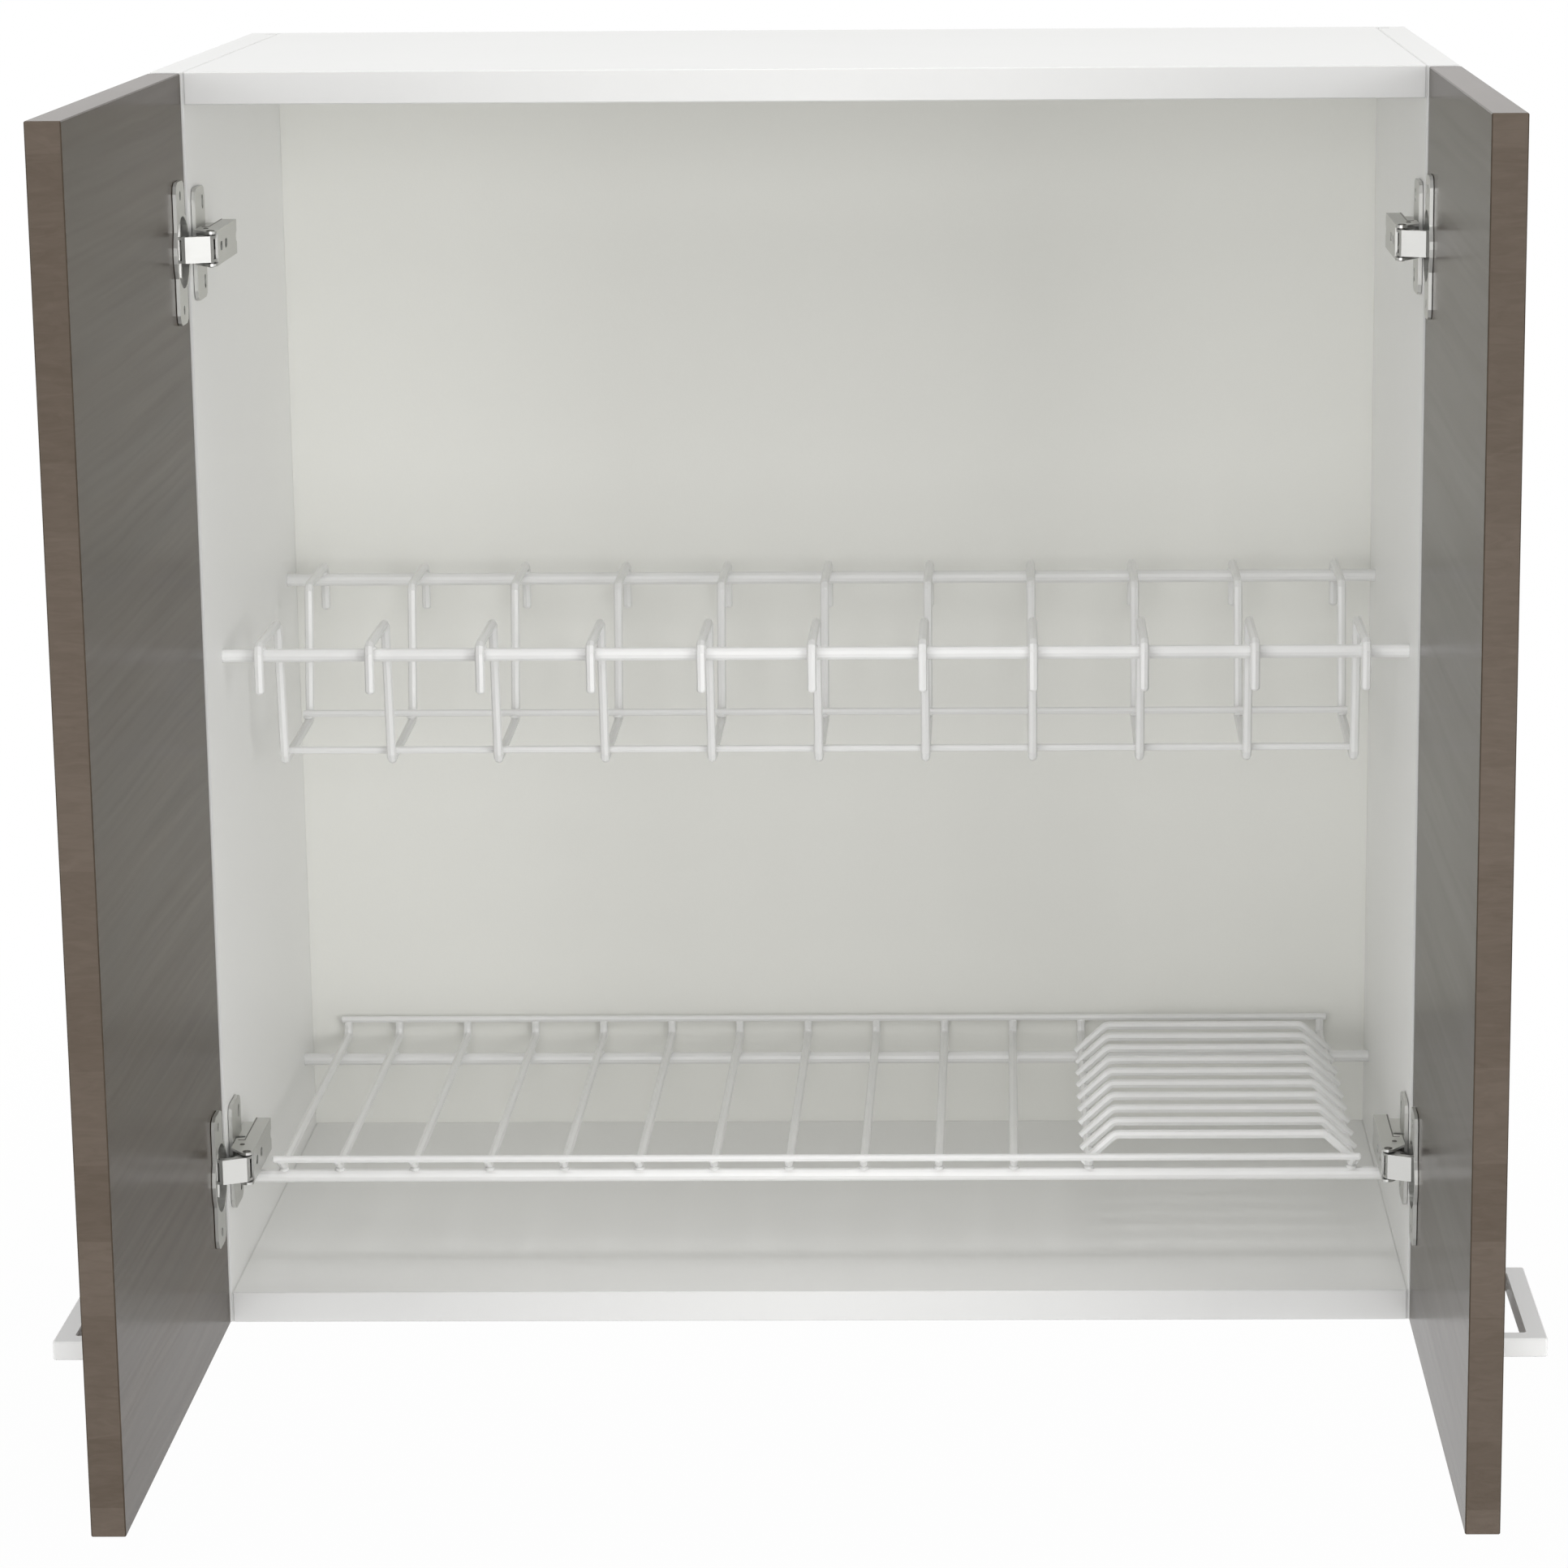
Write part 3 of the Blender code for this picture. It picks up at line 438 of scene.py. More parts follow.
def hardboard_back(settings):
    """Thin back sheet: lacquered towards the room, bare brown fibre towards the wall."""
    sheet = Sheet("hardboard_back")
    fleck = sheet.noise(scale=900.0, detail=3.0, roughness=0.7)
    cloud = sheet.noise(scale=3.0, detail=3.0)
    pale = tuple(settings.hardboard)
    lacquer = sheet.mix(sheet.span(cloud, 0.0, 0.35), pale, scaled(pale, SHEET_DIM))
    lacquer = sheet.mix(sheet.span(fleck, 0.0, 0.10), lacquer, scaled(pale, FLECK_DIM))
    run = sheet.stretched(FIBRE_SQUEEZE)
    strands = sheet.noise(scale=FIBRES_PER_METRE, detail=6.0, roughness=0.75, vector=run)
    brown = tuple(settings.raw_fibre)
    dark, light = scaled(brown, FIBRE_DARK), scaled(brown, FIBRE_PALE)
    fibre = sheet.ramp(strands, (0.25, dark), (0.55, brown), (0.85, light))
    rear = sheet.calculate("GREATER_THAN", sheet.axis(sheet.normal, "Y"), FACES_REAR)
    sheet.bump(fleck, strength=0.08, distance=0.0005)
    rough = sheet.span(cloud, 0.46, 0.6)
    return sheet.set(Base_Color=sheet.mix(rear, lacquer, fibre), Roughness=rough)


def taupe_laminate(settings):
    """Wood-grain laminate: level grain on the faces, banded figure on the edges."""
    sheet = Sheet("taupe_laminate")
    warp = sheet.noise(scale=4.0, detail=3.0)
    wander = sheet.add("ShaderNodeCombineXYZ")
    sheet.feed(wander.inputs["Z"], sheet.span(warp, -GRAIN_WANDER, GRAIN_WANDER))
    moved = sheet.add("ShaderNodeVectorMath", operation="ADD")
    sheet.feed(moved.inputs[0], sheet.place)
    sheet.feed(moved.inputs[1], wander.outputs["Vector"])
    place = moved.outputs["Vector"]
    lines = sheet.noise(scale=1.0, detail=3.0, vector=sheet.stretched(GRAIN_LINES, place))
    drift = sheet.stretched(GRAIN_FLOW, place)
    flow = sheet.noise(scale=1.0, detail=2.0, distortion=0.5, vector=drift)
    dark, middle, pale = tuple(settings.dark), tuple(settings.middle), tuple(settings.pale)
    grain = sheet.mix(FLOW_SHARE, lines, flow)
    face = sheet.ramp(grain, (0.25, dark), (0.50, middle), (0.78, pale))
    across = sheet.add("ShaderNodeTexVoronoi", feature="F1", voronoi_dimensions="1D")
    sheet.feed(across.inputs["W"], sheet.axis(place, "Z"))
    across.inputs["Scale"].default_value = BANDS_PER_METRE
    block = sheet.axis(across.outputs["Color"], "X")
    ripples = sheet.stretched(BAND_WAVES)
    wave = sheet.noise(scale=1.0, detail=4.0, roughness=0.6, distortion=1.2, vector=ripples)
    bands = sheet.mix(WAVE_SHARE, block, sheet.span(wave, -0.3, 1.3))
    deep, light = tuple(settings.edge_dark), tuple(settings.edge_pale)
    edge = sheet.ramp(bands, (0.15, deep), (0.85, light))
    sideways = sheet.calculate("ABSOLUTE", sheet.axis(sheet.normal, "X"))
    colour = sheet.mix(sheet.calculate("LESS_THAN", sideways, EDGES_FACE), face, edge)
    satin = sheet.noise(scale=1100.0, detail=2.0)
    sheet.bump(satin, strength=0.02, distance=0.0001)
    rough = sheet.span(flow, settings.roughness - 0.02, settings.roughness + 0.04)
    pores = sheet.span(lines, settings.gloss * PORE_GLOSS, settings.gloss * RIDGE_GLOSS)
    return sheet.set(Base_Color=colour, Roughness=rough, Specular_IOR_Level=pores)


def nickel_plate(settings, name, colour, line_scale, roughness):
    """Bright plated steel: fine rolled lines, faint stains, slightly uneven gloss, and painted
    shade in corners and slots.
    """
    sheet = Sheet(name)
    rolled = sheet.noise(scale=1.0, detail=3.0, vector=sheet.stretched(line_scale))
    stain = sheet.noise(scale=140.0, detail=4.0, roughness=0.65)
    shade = sheet.ramp(stain, (0.25, scaled(colour, PLATING_DIM)), (0.7, colour))
    # Painted shade: where a place's surroundings are closed in, the plating is darkened towards the
    # crevice colour.
    openness = sheet.open_share(settings.painted_shade_reach)
    unshaded = sheet.ramp(openness, (FULL_SHADE_UNTIL, 0.0), (NO_SHADE_FROM, 1.0))
    shade = sheet.mix(unshaded, tuple(settings.painted_crevice_shade), shade)
    rough = sheet.calculate(
        "ADD", sheet.span(rolled, roughness - 0.04, roughness + 0.04),
        sheet.span(stain, -0.03, 0.05),
    )
    sheet.bump(rolled, strength=0.02, distance=0.0001)
    return sheet.set(Base_Color=shade, Roughness=rough, Metallic=1.0)


def coated_wire(settings):
    """Dipped plastic coating: slightly uneven, with a soft gloss."""
    sheet = Sheet("coated_wire")
    ripple = sheet.noise(scale=260.0, detail=2.0)
    cloud = sheet.noise(scale=40.0, detail=3.0)
    pale = tuple(settings.coating)
    colour = sheet.mix(sheet.span(cloud, 0.0, 0.7), pale, scaled(pale, WIRE_DIM))
    sheet.bump(ripple, strength=0.12, distance=0.0005)
    rough = sheet.span(cloud, settings.roughness - 0.05, settings.roughness + 0.1)
    return sheet.set(Base_Color=colour, Roughness=rough, Coat_Weight=0.15)


def handle_lacquer(settings):
    """Smooth white lacquer with a trace of orange peel."""
    sheet = Sheet("handle_lacquer")
    peel = sheet.noise(scale=700.0, detail=2.0)
    cloud = sheet.noise(scale=30.0, detail=3.0)
    pale = tuple(settings.lacquer)
    colour = sheet.mix(sheet.span(cloud, 0.0, 0.2), pale, scaled(pale, HANDLE_DIM))
    sheet.bump(peel, strength=0.05, distance=0.0003)
    rough = sheet.span(cloud, settings.roughness - 0.02, settings.roughness + 0.03)
    return sheet.set(Base_Color=colour, Roughness=rough, Coat_Weight=0.2)


def front_of_case():
    """Where the front edges of the case's boards lie along Y."""
    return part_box("side_panel_left")[0].y


def give(material, *names):
    """The finish goes on nodes of the frame."""
    for name in names:
        obj = bpy.data.objects[name]
        obj.data.materials.clear()
        obj.data.materials.append(material)


def named(*starts):
    """The frame's nodes whose names begin with one of the words."""
    found = sorted(name for name in nodes if name.startswith(starts))
    if not found:
        raise RuntimeError(f"the frame has no node that begins with {starts}")
    return found


# Shapes of the small fittings

def ring_of(shape, matrix, radius, height, facets):
    """A ring of vertices round the matrix's Z axis."""
    ring = []
    for step in range(facets):
        turn = math.tau * step / facets
        spot = Vector((radius * math.cos(turn), radius * math.sin(turn), height))
        ring.append(shape.verts.new(matrix @ spot))
    return ring


def join_rings(shape, rings):
    """Faces between each ring and the next."""
    for lower, upper in zip(rings, rings[1:]):
        for step in range(len(lower)):
            after = (step + 1) % len(lower)
            shape.faces.new((lower[step], lower[after], upper[after], upper[step]))


def screw_head(shape, matrix, radius, sizes, recess_turn):
    """A low domed head with a cross recess, standing on the plane of the matrix."""
    rise = sizes.head_rise
    facets = sizes.facets
    rings = []
    for share, height in HEAD_PROFILE:
        rings.append(ring_of(shape, matrix, radius * share, rise * height, facets))
    join_rings(shape, rings)
    shape.faces.new(list(reversed(rings[0])))
    arm = radius * CROSS_REACH
    half = radius * CROSS_HALF
    corners = [
        (arm, -half), (arm, half), (half, half), (half, arm), (-half, arm), (-half, half),
        (-arm, half), (-arm, -half), (-half, -half), (-half, -arm), (half, -arm), (half, -half),
    ]
    spin = Matrix.Rotation(recess_turn, 4, "Z")
    mouth = [shape.verts.new(matrix @ spin @ Vector((x, y, rise))) for x, y in corners]
    depth = rise - sizes.recess_depth
    floor = [
        shape.verts.new(matrix @ spin @ Vector((x * CROSS_TAPER, y * CROSS_TAPER, depth)))
        for x, y in corners
    ]
    edges = []
    for ring in (rings[-1], mouth):
        for step, vert in enumerate(ring):
            edges.append(edge_between(shape, vert, ring[(step + 1) % len(ring)]))
    filled = bmesh.ops.triangle_fill(shape, use_beauty=True, edges=edges)
    if not filled["geom"]:
        raise RuntimeError("a screw head could not be closed")
    for step in range(len(corners)):
        after = (step + 1) % len(corners)
        shape.faces.new((mouth[step], mouth[after], floor[after], floor[step]))
    shape.faces.new(floor)


def edge_between(shape, first, second):
    """The edge between two vertices, which is made if there is none yet."""
    found = shape.edges.get((first, second))
    return found or shape.edges.new((first, second))


def shank(shape, matrix, radius, length, facets=16):
    """A screw's shank, which runs down from the plane of the matrix and ends in a chamfer."""
    rings = []
    for share, depth in SHANK_PROFILE:
        rings.append(ring_of(shape, matrix, radius * share, -length * depth, facets))
    join_rings(shape, rings)
    shape.faces.new(rings[0])
    shape.faces.new(list(reversed(rings[-1])))


def dome(shape, matrix, radius, rise, facets=20, levels=4):
    """A shallow dome on the plane of the matrix, closed below."""
    rings = []
    for level in range(levels):
        turn = math.pi / 2 * level / levels
        rings.append(ring_of(shape, matrix, radius * math.cos(turn), rise * math.sin(turn), facets))
    join_rings(shape, rings)
    peak = shape.verts.new(matrix @ Vector((0, 0, rise)))
    for step in range(facets):
        shape.faces.new((rings[-1][step], rings[-1][(step + 1) % facets], peak))
    shape.faces.new(list(reversed(rings[0])))


def strip(shape, start, end, face, rise):
    """A narrow raised strip with sloping sides, standing on a level face."""
    slope = abs(rise)
    rings = []
    for inset, height in ((0.0, face), (slope, face + rise)):
        near, far = (start[0] + inset, start[1] + inset), (end[0] - inset, end[1] - inset)
        corners = (near, (far[0], near[1]), far, (near[0], far[1]))
        rings.append([shape.verts.new((x, y, height)) for x, y in corners])
    join_rings(shape, rings)
    lower, upper = rings
    shape.faces.new(upper)
    shape.faces.new(list(reversed(lower)))


def bead(shape, centre, radius, shares):
    """A soft blob of coating round a weld."""
    stretch = Matrix.Diagonal((*(radius * share for share in shares), 1))
    matrix = Matrix.Translation(centre) @ stretch
    bmesh.ops.create_icosphere(shape, subdivisions=2, radius=1.0, matrix=matrix)


def piece(name, build, material, body, smooth_angle=35):
    """A new piece made in mesh code, given its finish, and set to ride on a body."""
    shape = bmesh.new()
    build(shape)
    bmesh.ops.recalc_face_normals(shape, faces=shape.faces[:])
    mesh = bpy.data.meshes.new(name)
    shape.to_mesh(mesh)
    shape.free()
    mesh.materials.append(material)
    mesh.shade_smooth()
    mesh.set_sharp_from_angle(angle=math.radians(smooth_angle))
    obj = bpy.data.objects.new(name, mesh)
    bpy.context.scene.collection.objects.link(obj)
    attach(obj, body)


def facing(place, direction):
    """A matrix at a place whose Z axis points along a direction."""
    turn = Vector((0, 0, 1)).rotation_difference(Vector(direction)).to_matrix().to_4x4()
    return Matrix.Translation(place) @ turn


# Operators

class CABINET_OT_boards(bpy.types.Operator):
    """Finish the case boards and the back sheet"""

    bl_idname = "cabinet.boards"
    bl_label = "Finish Boards"

    def execute(self, context):
        settings = context.scene.cabinet_boards
        faced = melamine_white(settings)
        give(faced, *named("side_panel", "top_panel", "bottom_panel"))
        give(hardboard_back(settings), "back_panel")
        for side in SIDES:
            for panel in ("top_panel", "bottom_panel"):
                self.joint(side, panel, settings, faced)
        return {"FINISHED"}

    def joint(self, side, panel, settings, finish):
        """The thin line of white glue between a side panel and the end of another panel."""
        low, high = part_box(panel)
        case_low, case_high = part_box(f"side_panel_{side}")
        sink = settings.joint_sink
        ends = (case_high.x, low.x) if side == "left" else (high.x, case_low.x)
        if ends[1] <= ends[0]:
            raise RuntimeError(f"{panel} leaves no room for glue at the {side} side")
        front, rear = low.y + sink, high.y - sink
        bottom, top = low.z + sink, high.z - sink
        ease = sink / 2
        outline = [
            (front + ease, bottom), (rear - ease, bottom),
            (rear, bottom + ease), (rear, top - ease),
            (rear - ease, top), (front + ease, top),
            (front, top - ease), (front, bottom + ease),
        ]

        def build(shape):
            rings = [[shape.verts.new((x, y, z)) for y, z in outline] for x in ends]
            join_rings(shape, rings)
            shape.faces.new(rings[0])
            shape.faces.new(list(reversed(rings[1])))

        piece(f"joint_line_{side}_{panel}", build, finish, "carcass")


class CABINET_OT_doors(bpy.types.Operator):
    """Finish both doors in wood-grain laminate"""

    bl_idname = "cabinet.doors"
    bl_label = "Finish Doors"

    def execute(self, context):
        give(taupe_laminate(context.scene.cabinet_laminate), *named("door_"))
        return {"FINISHED"}


class CABINET_OT_handles(bpy.types.Operator):
    """Finish the bow handles"""

    bl_idname = "cabinet.handles"
    bl_label = "Finish Handles"

    def execute(self, context):
        give(handle_lacquer(context.scene.cabinet_handles), *named("handle_"))
        return {"FINISHED"}


class CABINET_OT_hinges(bpy.types.Operator):
    """Finish the hinges and the hanging plates in nickel"""

    bl_idname = "cabinet.hinges"
    bl_label = "Finish Hinges"

    def execute(self, context):
        settings = context.scene.cabinet_steel
        nickel, satin = tuple(settings.nickel), tuple(settings.link)
        plate = nickel_plate(settings, "nickel_plate", nickel, ROLLED_LINES, settings.roughness)
        give(plate, *named("hinge_", "hanger_"))
        link = nickel_plate(settings, "link_plate", satin, ROLLED_LINES, settings.link_roughness)
        give(link, *named("hinge_link"))
        return {"FINISHED"}


class CABINET_OT_screws(bpy.types.Operator):
    """Fit the screws and pivot rivets of the hinges"""

    bl_idname = "cabinet.screws"
    bl_label = "Fit Hinge Screws"

    def execute(self, context):
        steel = context.scene.cabinet_steel
        sizes = context.scene.cabinet_fittings
        # The near-black screw tint is painted shade for the slots; the pivot rivets and the arm
        # seams share it.
        grey = tuple(steel.screw)
        finish = nickel_plate(steel, "screw_plate", grey, SCREW_LINES, steel.roughness)
        for side in SIDES:
            for level in LEVELS:
                self.case_screws(side, level, sizes, finish)
                self.door_screws(side, level, sizes, finish)
                self.arm_shade_seams(side, level, sizes, finish)
        return {"FINISHED"}

    def arm_shade_seams(self, side, level, sizes, finish):
        """The pressed seams and the small rivet on the upper and lower walls of an arm, drawn near
        black as painted lines of shade.
        """
        low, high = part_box(f"hinge_arm_{side}_{level}")
        case_front = front_of_case()
        across = case_front + sizes.seam_start
        half = sizes.seam_width / 2
        width = high.x - low.x

        def across_arm(part):
            """A place across the arm, as a share of its width from the case's side panel."""
            return low.x + width * part if side == "left" else high.x - width * part

        def build(shape):
            for face, up in ((high.z, 1), (low.z, -1)):
                line = across_arm(SEAM_LINE)
                rise = up * sizes.seam_rise
                rear = high.y - sizes.clearance
                strip(shape, (line - half, across), (line + half, rear), face, rise)
                start, end = sorted((across_arm(SEAM_EDGE), line))
                strip(shape, (start, across - half), (end, across + half), face, rise)
                spot = Vector((line, case_front + sizes.arm_rivet, face))
                radius, height = sizes.rivet * SMALL_RIVET, sizes.head_rise * SMALL_RIVET_RISE
                dome(shape, facing(spot, (0, 0, up)), radius, height)

        piece(f"arm_seams_{side}_{level}", build, finish, "carcass")

    def case_screws(self, side, level, sizes, finish):
        """The screws of mounting plate and arm, and a rivet at each end of the arm's pin."""
        inward = 1 if side == "left" else -1
        plate_low, plate_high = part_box(f"hinge_plate_{side}_{level}")
        arm_low, arm_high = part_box(f"hinge_arm_{side}_{level}")
        middle = (plate_low.z + plate_high.z) / 2
        case_face = plate_low.x if inward > 0 else plate_high.x
        arm_face = arm_high.x if inward > 0 else arm_low.x
        case_front = front_of_case()
        pivot = next(j for j in frame["joints"] if j["name"] == f"{side}_link_swing")["pos_m"]

        def build(shape):
            for turn, way in zip(PLATE_TURNS, (-1, 1)):
                place = Vector((
                    case_face + inward * sizes.clearance, plate_low.y + sizes.plate_line,
                    middle + way * sizes.plate_spacing,
                ))
                screw_head(shape, facing(place, (inward, 0, 0)), sizes.plate_screw, sizes, turn)
            for number in (0, 1):
                place = Vector((
                    arm_face - inward * sizes.arm_sink,
                    case_front + sizes.arm_front + number * sizes.arm_pitch, middle,
                ))
                spot = facing(place, (inward, 0, 0))
                screw_head(shape, spot, sizes.arm_screw, sizes, ARM_TURN + number)
                shank(shape, spot, sizes.arm_screw * SHANK_SHARE, sizes.arm_shank)
            for up in (-1, 1):
                place = Vector((pivot[0], pivot[1], arm_high.z if up > 0 else arm_low.z))
                dome(shape, facing(place, (0, 0, up)), sizes.rivet, sizes.head_rise * RIVET_RISE)

        piece(f"case_screws_{side}_{level}", build, finish, "carcass")

    def door_screws(self, side, level, sizes, finish):
        """Two screws sunk in the cup flange, which hold it to the door."""
        inward = 1 if side == "left" else -1
        low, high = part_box(f"hinge_cup_{side}_{level}")
        face = high.x if inward > 0 else low.x
        middle = (low.z + high.z) / 2

        def build(shape):
            for turn, way in zip(FLANGE_TURNS, (-1, 1)):
                place = Vector((
                    face - inward * sizes.flange_sink, low.y + sizes.flange_line,
                    middle + way * sizes.flange_spacing,
                ))
                screw_head(shape, facing(place, (inward, 0, 0)), sizes.flange_screw, sizes, turn)

        piece(f"flange_screws_{side}_{level}", build, finish, f"{side}_door")


class CABINET_OT_racks(bpy.types.Operator):
    """Finish the wires, and add the weld beads and rounded wire ends"""

    bl_idname = "cabinet.racks"
    bl_label = "Finish Racks"

    def execute(self, context):
        sizes = context.scene.cabinet_fittings
        coat = coated_wire(context.scene.cabinet_wire)
        give(coat, *named("plate_rack", "cup_rack"))
        self.plate_rack(sizes, coat)
        self.cup_rack(sizes, coat)
        return {"FINISHED"}

    def plate_rack(self, sizes, coat):
        """A bead at each crossing of the frames, and a rounded end on each hanging tip."""
        size, lift = sizes.bead, sizes.bead_lift
        rails = [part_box("plate_rack_front_rail"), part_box("plate_rack_back_rail")]
        lower = [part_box("plate_rack_lower_front_wire"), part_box("plate_rack_lower_back_wire")]
        frames = named("plate_rack_frame")

        def build(shape):
            for name in frames:
                low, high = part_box(name)
                x = (low.x + high.x) / 2
                for rail_low, rail_high in rails:
                    y = (rail_low.y + rail_high.y) / 2
                    bead(shape, Vector((x, y, rail_high.z + lift)), size, BEAD_ON_RAIL)
                for wire_low, wire_high in lower:
                    y = (wire_low.y + wire_high.y) / 2
                    bead(shape, Vector((x, y, wire_low.z - lift)), size, BEAD_UNDER_RAIL)
                for y in (low.y + sizes.wire, high.y - sizes.wire):
                    end = Vector((x, y, wire_end(name, y)))
                    tip = sizes.wire * TIP_SHARE, sizes.wire * TIP_RISE, TIP_FACETS, TIP_LEVELS
                    dome(shape, facing(end, (0, 0, -1)), *tip)

        piece("plate_rack_welds", build, coat, "carcass", smooth_angle=80)

    def cup_rack(self, sizes, coat):
        """A bead at each crossing of the cross wires, and rounded ends on the lip wires."""
        size, lift = sizes.bead, sizes.bead_lift
        rails = [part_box("cup_rack_front_rail"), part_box("cup_rack_back_rail")]
        holder_low, holder_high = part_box("cup_rack_saucer_holder")
        front_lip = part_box("cup_rack_front_lip_wire")
        back_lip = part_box("cup_rack_back_lip_wire")
        places = []
        for name in named("cup_rack_wire"):
            low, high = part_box(name)
            places.append((low.x + high.x) / 2)
        places += [holder_low.x + sizes.hoop_reach, holder_high.x - sizes.hoop_reach]

        def build(shape):
            for x in places:
                for rail_low, rail_high in rails:
                    y = (rail_low.y + rail_high.y) / 2
                    bead(shape, Vector((x, y, rail_high.z + lift)), size, BEAD_ON_RAIL)
                front = (front_lip[0] + front_lip[1]) / 2
                joint = Vector((x, front.y + sizes.lip_bead_back, front.z - sizes.lip_bead_drop))
                bead(shape, joint, size, BEAD_AT_FRONT_LIP)
                back = (back_lip[0] + back_lip[1]) / 2
                joint = Vector((x, back.y, back_lip[0].z - sizes.clearance))
                bead(shape, joint, size, BEAD_AT_BACK_LIP)
            for wire in (front_lip, back_lip):
                middle = (wire[0] + wire[1]) / 2
                radius = (wire[1].z - wire[0].z) / 2 * LIP_TIP_SHARE
                for x, way in ((wire[0].x, -1), (wire[1].x, 1)):
                    end = facing(Vector((x, middle.y, middle.z)), (way, 0, 0))
                    dome(shape, end, radius, radius * TIP_RISE, TIP_FACETS, TIP_LEVELS)

        piece("cup_rack_welds", build, coat, "carcass", smooth_angle=80)


def wire_end(name, y):
    """The height of a frame's hanging end near a place along Y."""
    return min(v.co.z for v in nodes[name].data.vertices if abs(v.co.y - y) < WIRE_REACH)


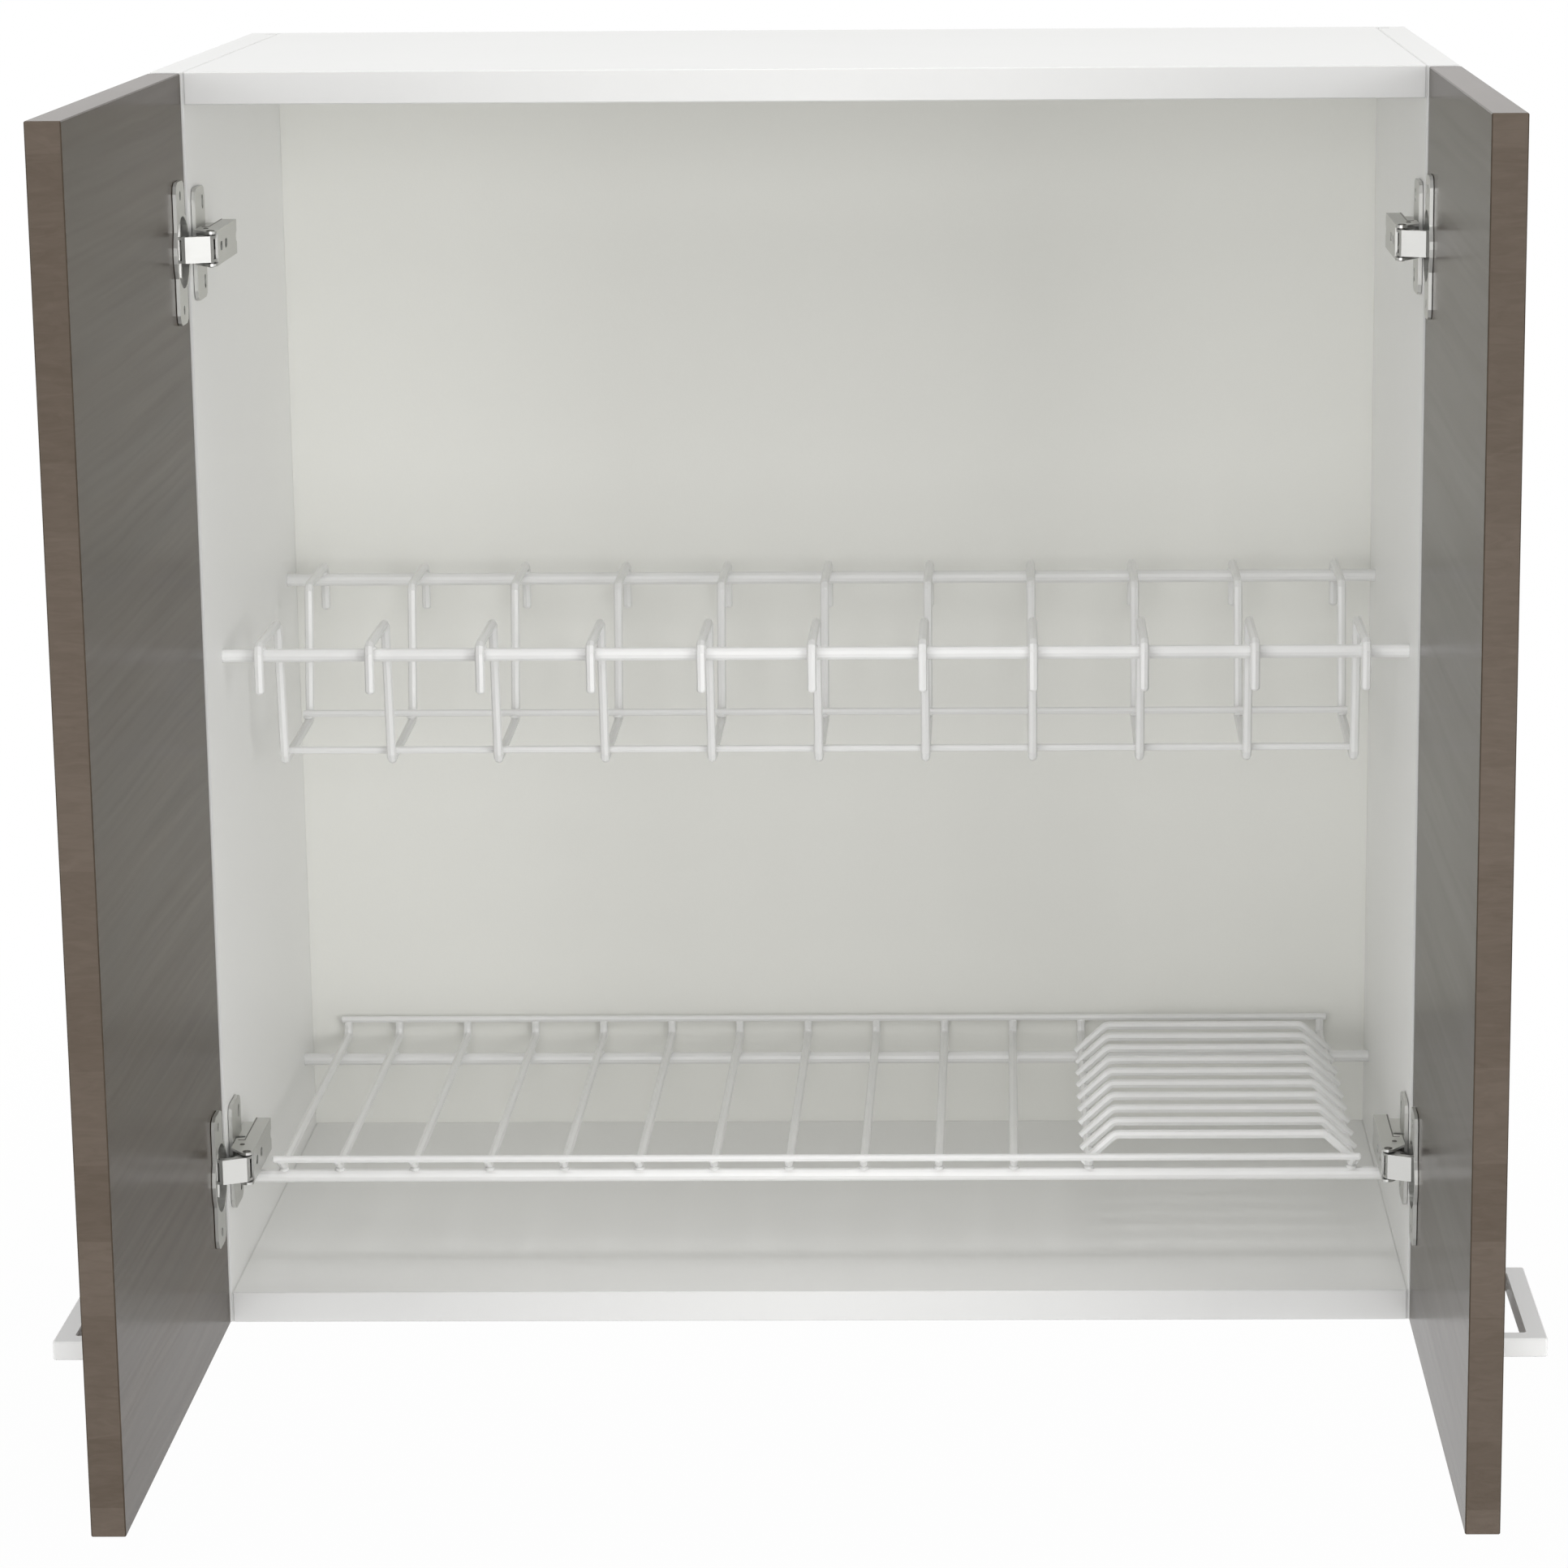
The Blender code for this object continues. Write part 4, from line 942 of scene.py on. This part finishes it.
class CABINET_OT_studio(bpy.types.Operator):
    """Set up the floor, the light and the camera"""

    bl_idname = "cabinet.studio"
    bl_label = "Set Up Studio"

    def execute(self, context):
        settings = context.scene.cabinet_studio
        self.floor(settings)
        self.light(settings)
        self.camera(context.scene)
        context.scene.view_settings.view_transform = "Standard"
        return {"FINISHED"}

    def floor(self, settings):
        """A plain pale floor that shows white to the camera and keeps the cabinet's shadow."""
        level = cad_box[0][2] - settings.floor_drop
        mesh = bpy.data.meshes.new("floor")
        ways = ((-1, -1), (1, -1), (1, 1), (-1, 1))
        corners = [(x * FLOOR_HALF, y * FLOOR_HALF, level) for x, y in ways]
        mesh.from_pydata(corners, [], [(0, 1, 2, 3)])
        sheet = Sheet("floor")
        pale = tuple(settings.floor_tint)
        cloud = sheet.span(sheet.noise(scale=3.0), 0.0, 0.4)
        sheet.set(Roughness=0.9, Base_Color=sheet.mix(cloud, pale, scaled(pale, FLOOR_DIM)))
        seen = seen_directly(sheet)
        glow = sheet.add("ShaderNodeEmission")
        blend = sheet.add("ShaderNodeMixShader")
        reach = sheet.add("ShaderNodeVectorMath", operation="LENGTH")
        sheet.feed(reach.inputs[0], sheet.place)
        fade = sheet.add("ShaderNodeMapRange", interpolation_type="SMOOTHSTEP")
        sheet.feed(fade.inputs["Value"], reach.outputs["Value"])
        limits = {
            "From Min": FADE_START, "From Max": FADE_END, "To Min": GLOW_NEAR, "To Max": GLOW_FAR,
        }
        for socket, value in limits.items():
            fade.inputs[socket].default_value = value
        sheet.feed(blend.inputs["Fac"], sheet.calculate("MULTIPLY", seen, fade.outputs["Result"]))
        sheet.tree.links.new(sheet.shader.outputs["BSDF"], blend.inputs[1])
        sheet.tree.links.new(glow.outputs["Emission"], blend.inputs[2])
        output = sheet.tree.nodes["Material Output"]
        sheet.tree.links.new(blend.outputs["Shader"], output.inputs["Surface"])
        mesh.materials.append(sheet.material)
        floor = bpy.data.objects.new("floor", mesh)
        bpy.context.scene.collection.objects.link(floor)

    def light(self, settings):
        """Even light from all round, with soft lamps in front, above and behind."""
        world = bpy.data.worlds.new("studio")
        bpy.context.scene.world = world
        world.use_nodes = True
        tree = world.node_tree
        sky = tree.nodes["Background"]
        sky.inputs["Strength"].default_value = settings.sky
        sky.inputs["Color"].default_value = (1, 1, 1, 1)
        backdrop = tree.nodes.new("ShaderNodeBackground")
        backdrop.inputs["Color"].default_value = (1, 1, 1, 1)
        paths = tree.nodes.new("ShaderNodeLightPath")
        seen = tree.nodes.new("ShaderNodeMath")
        seen.operation = "MAXIMUM"
        tree.links.new(paths.outputs["Is Camera Ray"], seen.inputs[0])
        tree.links.new(paths.outputs["Is Glossy Ray"], seen.inputs[1])
        blend = tree.nodes.new("ShaderNodeMixShader")
        tree.links.new(seen.outputs["Value"], blend.inputs["Fac"])
        tree.links.new(sky.outputs["Background"], blend.inputs[1])
        tree.links.new(backdrop.outputs["Background"], blend.inputs[2])
        tree.links.new(blend.outputs["Shader"], tree.nodes["World Output"].inputs["Surface"])
        for name, place, size in LAMPS:
            data = bpy.data.lights.new(f"{name}_lamp", "AREA")
            data.size = size
            data.energy = getattr(settings, name)
            lamp = bpy.data.objects.new(f"{name}_lamp", data)
            lamp.location = place
            aim = Vector(LAMP_TARGET) - Vector(place)
            lamp.rotation_euler = aim.to_track_quat("-Z", "Y").to_euler()
            lamp.visible_glossy = name not in HIDDEN_LAMPS
            bpy.context.scene.collection.objects.link(lamp)

    def camera(self, scene):
        """The camera at the viewing angle of the product picture."""
        data = bpy.data.cameras.new("camera")
        data.sensor_width = SENSOR_SIDE
        data.sensor_height = SENSOR_SIDE
        data.lens = CAMERA_REACH / PICTURE_SIDE * SENSOR_SIDE
        data.shift_x = (PICTURE_SIDE / 2 - PICTURE_CENTRE[0]) / PICTURE_SIDE
        data.shift_y = (PICTURE_CENTRE[1] - PICTURE_SIDE / 2) / PICTURE_SIDE
        data.clip_end = FAR_LIMIT
        turned = (
            Matrix.Rotation(math.radians(-CAMERA_YAW), 4, "Z")
            @ Matrix.Rotation(math.radians(-CAMERA_PITCH), 4, "X")
            @ Matrix.Rotation(math.radians(CAMERA_ROLL), 4, "Y")
        )
        camera = bpy.data.objects.new("camera", data)
        camera.matrix_world = (
            Matrix.Translation(CAMERA_PLACE) @ turned @ Matrix.Rotation(math.pi / 2, 4, "X")
        )
        scene.collection.objects.link(camera)
        scene.camera = camera


def seen_directly(sheet):
    """1 for camera, mirror and see-through rays, and 0 for the others."""
    paths = sheet.add("ShaderNodeLightPath")
    camera, glossy = paths.outputs["Is Camera Ray"], paths.outputs["Is Glossy Ray"]
    direct = sheet.calculate("MAXIMUM", camera, glossy)
    return sheet.calculate("MAXIMUM", direct, paths.outputs["Is Transmission Ray"])


class CABINET_PT_panel(bpy.types.Panel):
    """The cabinet's finishes and fittings"""

    bl_idname = "CABINET_PT_panel"
    bl_label = "Wall Cabinet"
    bl_space_type = "VIEW_3D"
    bl_region_type = "UI"
    bl_category = "Cabinet"

    def draw(self, context):
        for operator in OPERATORS:
            self.layout.operator(operator.bl_idname)
        for name, group in SETTINGS.items():
            box = self.layout.box()
            settings = getattr(context.scene, name)
            for prop in group.__annotations__:
                box.prop(settings, prop)


OPERATORS = (
    CABINET_OT_boards, CABINET_OT_doors, CABINET_OT_handles, CABINET_OT_hinges, CABINET_OT_screws,
    CABINET_OT_racks, CABINET_OT_studio,
)


def register():
    for name, group in SETTINGS.items():
        bpy.utils.register_class(group)
        setattr(bpy.types.Scene, name, PointerProperty(type=group))
    for item in (*OPERATORS, CABINET_PT_panel):
        bpy.utils.register_class(item)


def unregister():
    for item in (CABINET_PT_panel, *reversed(OPERATORS)):
        bpy.utils.unregister_class(item)
    for name, group in reversed(SETTINGS.items()):
        delattr(bpy.types.Scene, name)
        bpy.utils.unregister_class(group)


def main():
    register()
    for name in ("boards", "doors", "handles", "hinges", "screws", "racks", "studio"):
        getattr(bpy.ops.cabinet, name)()


if __name__ == "__main__":
    main()
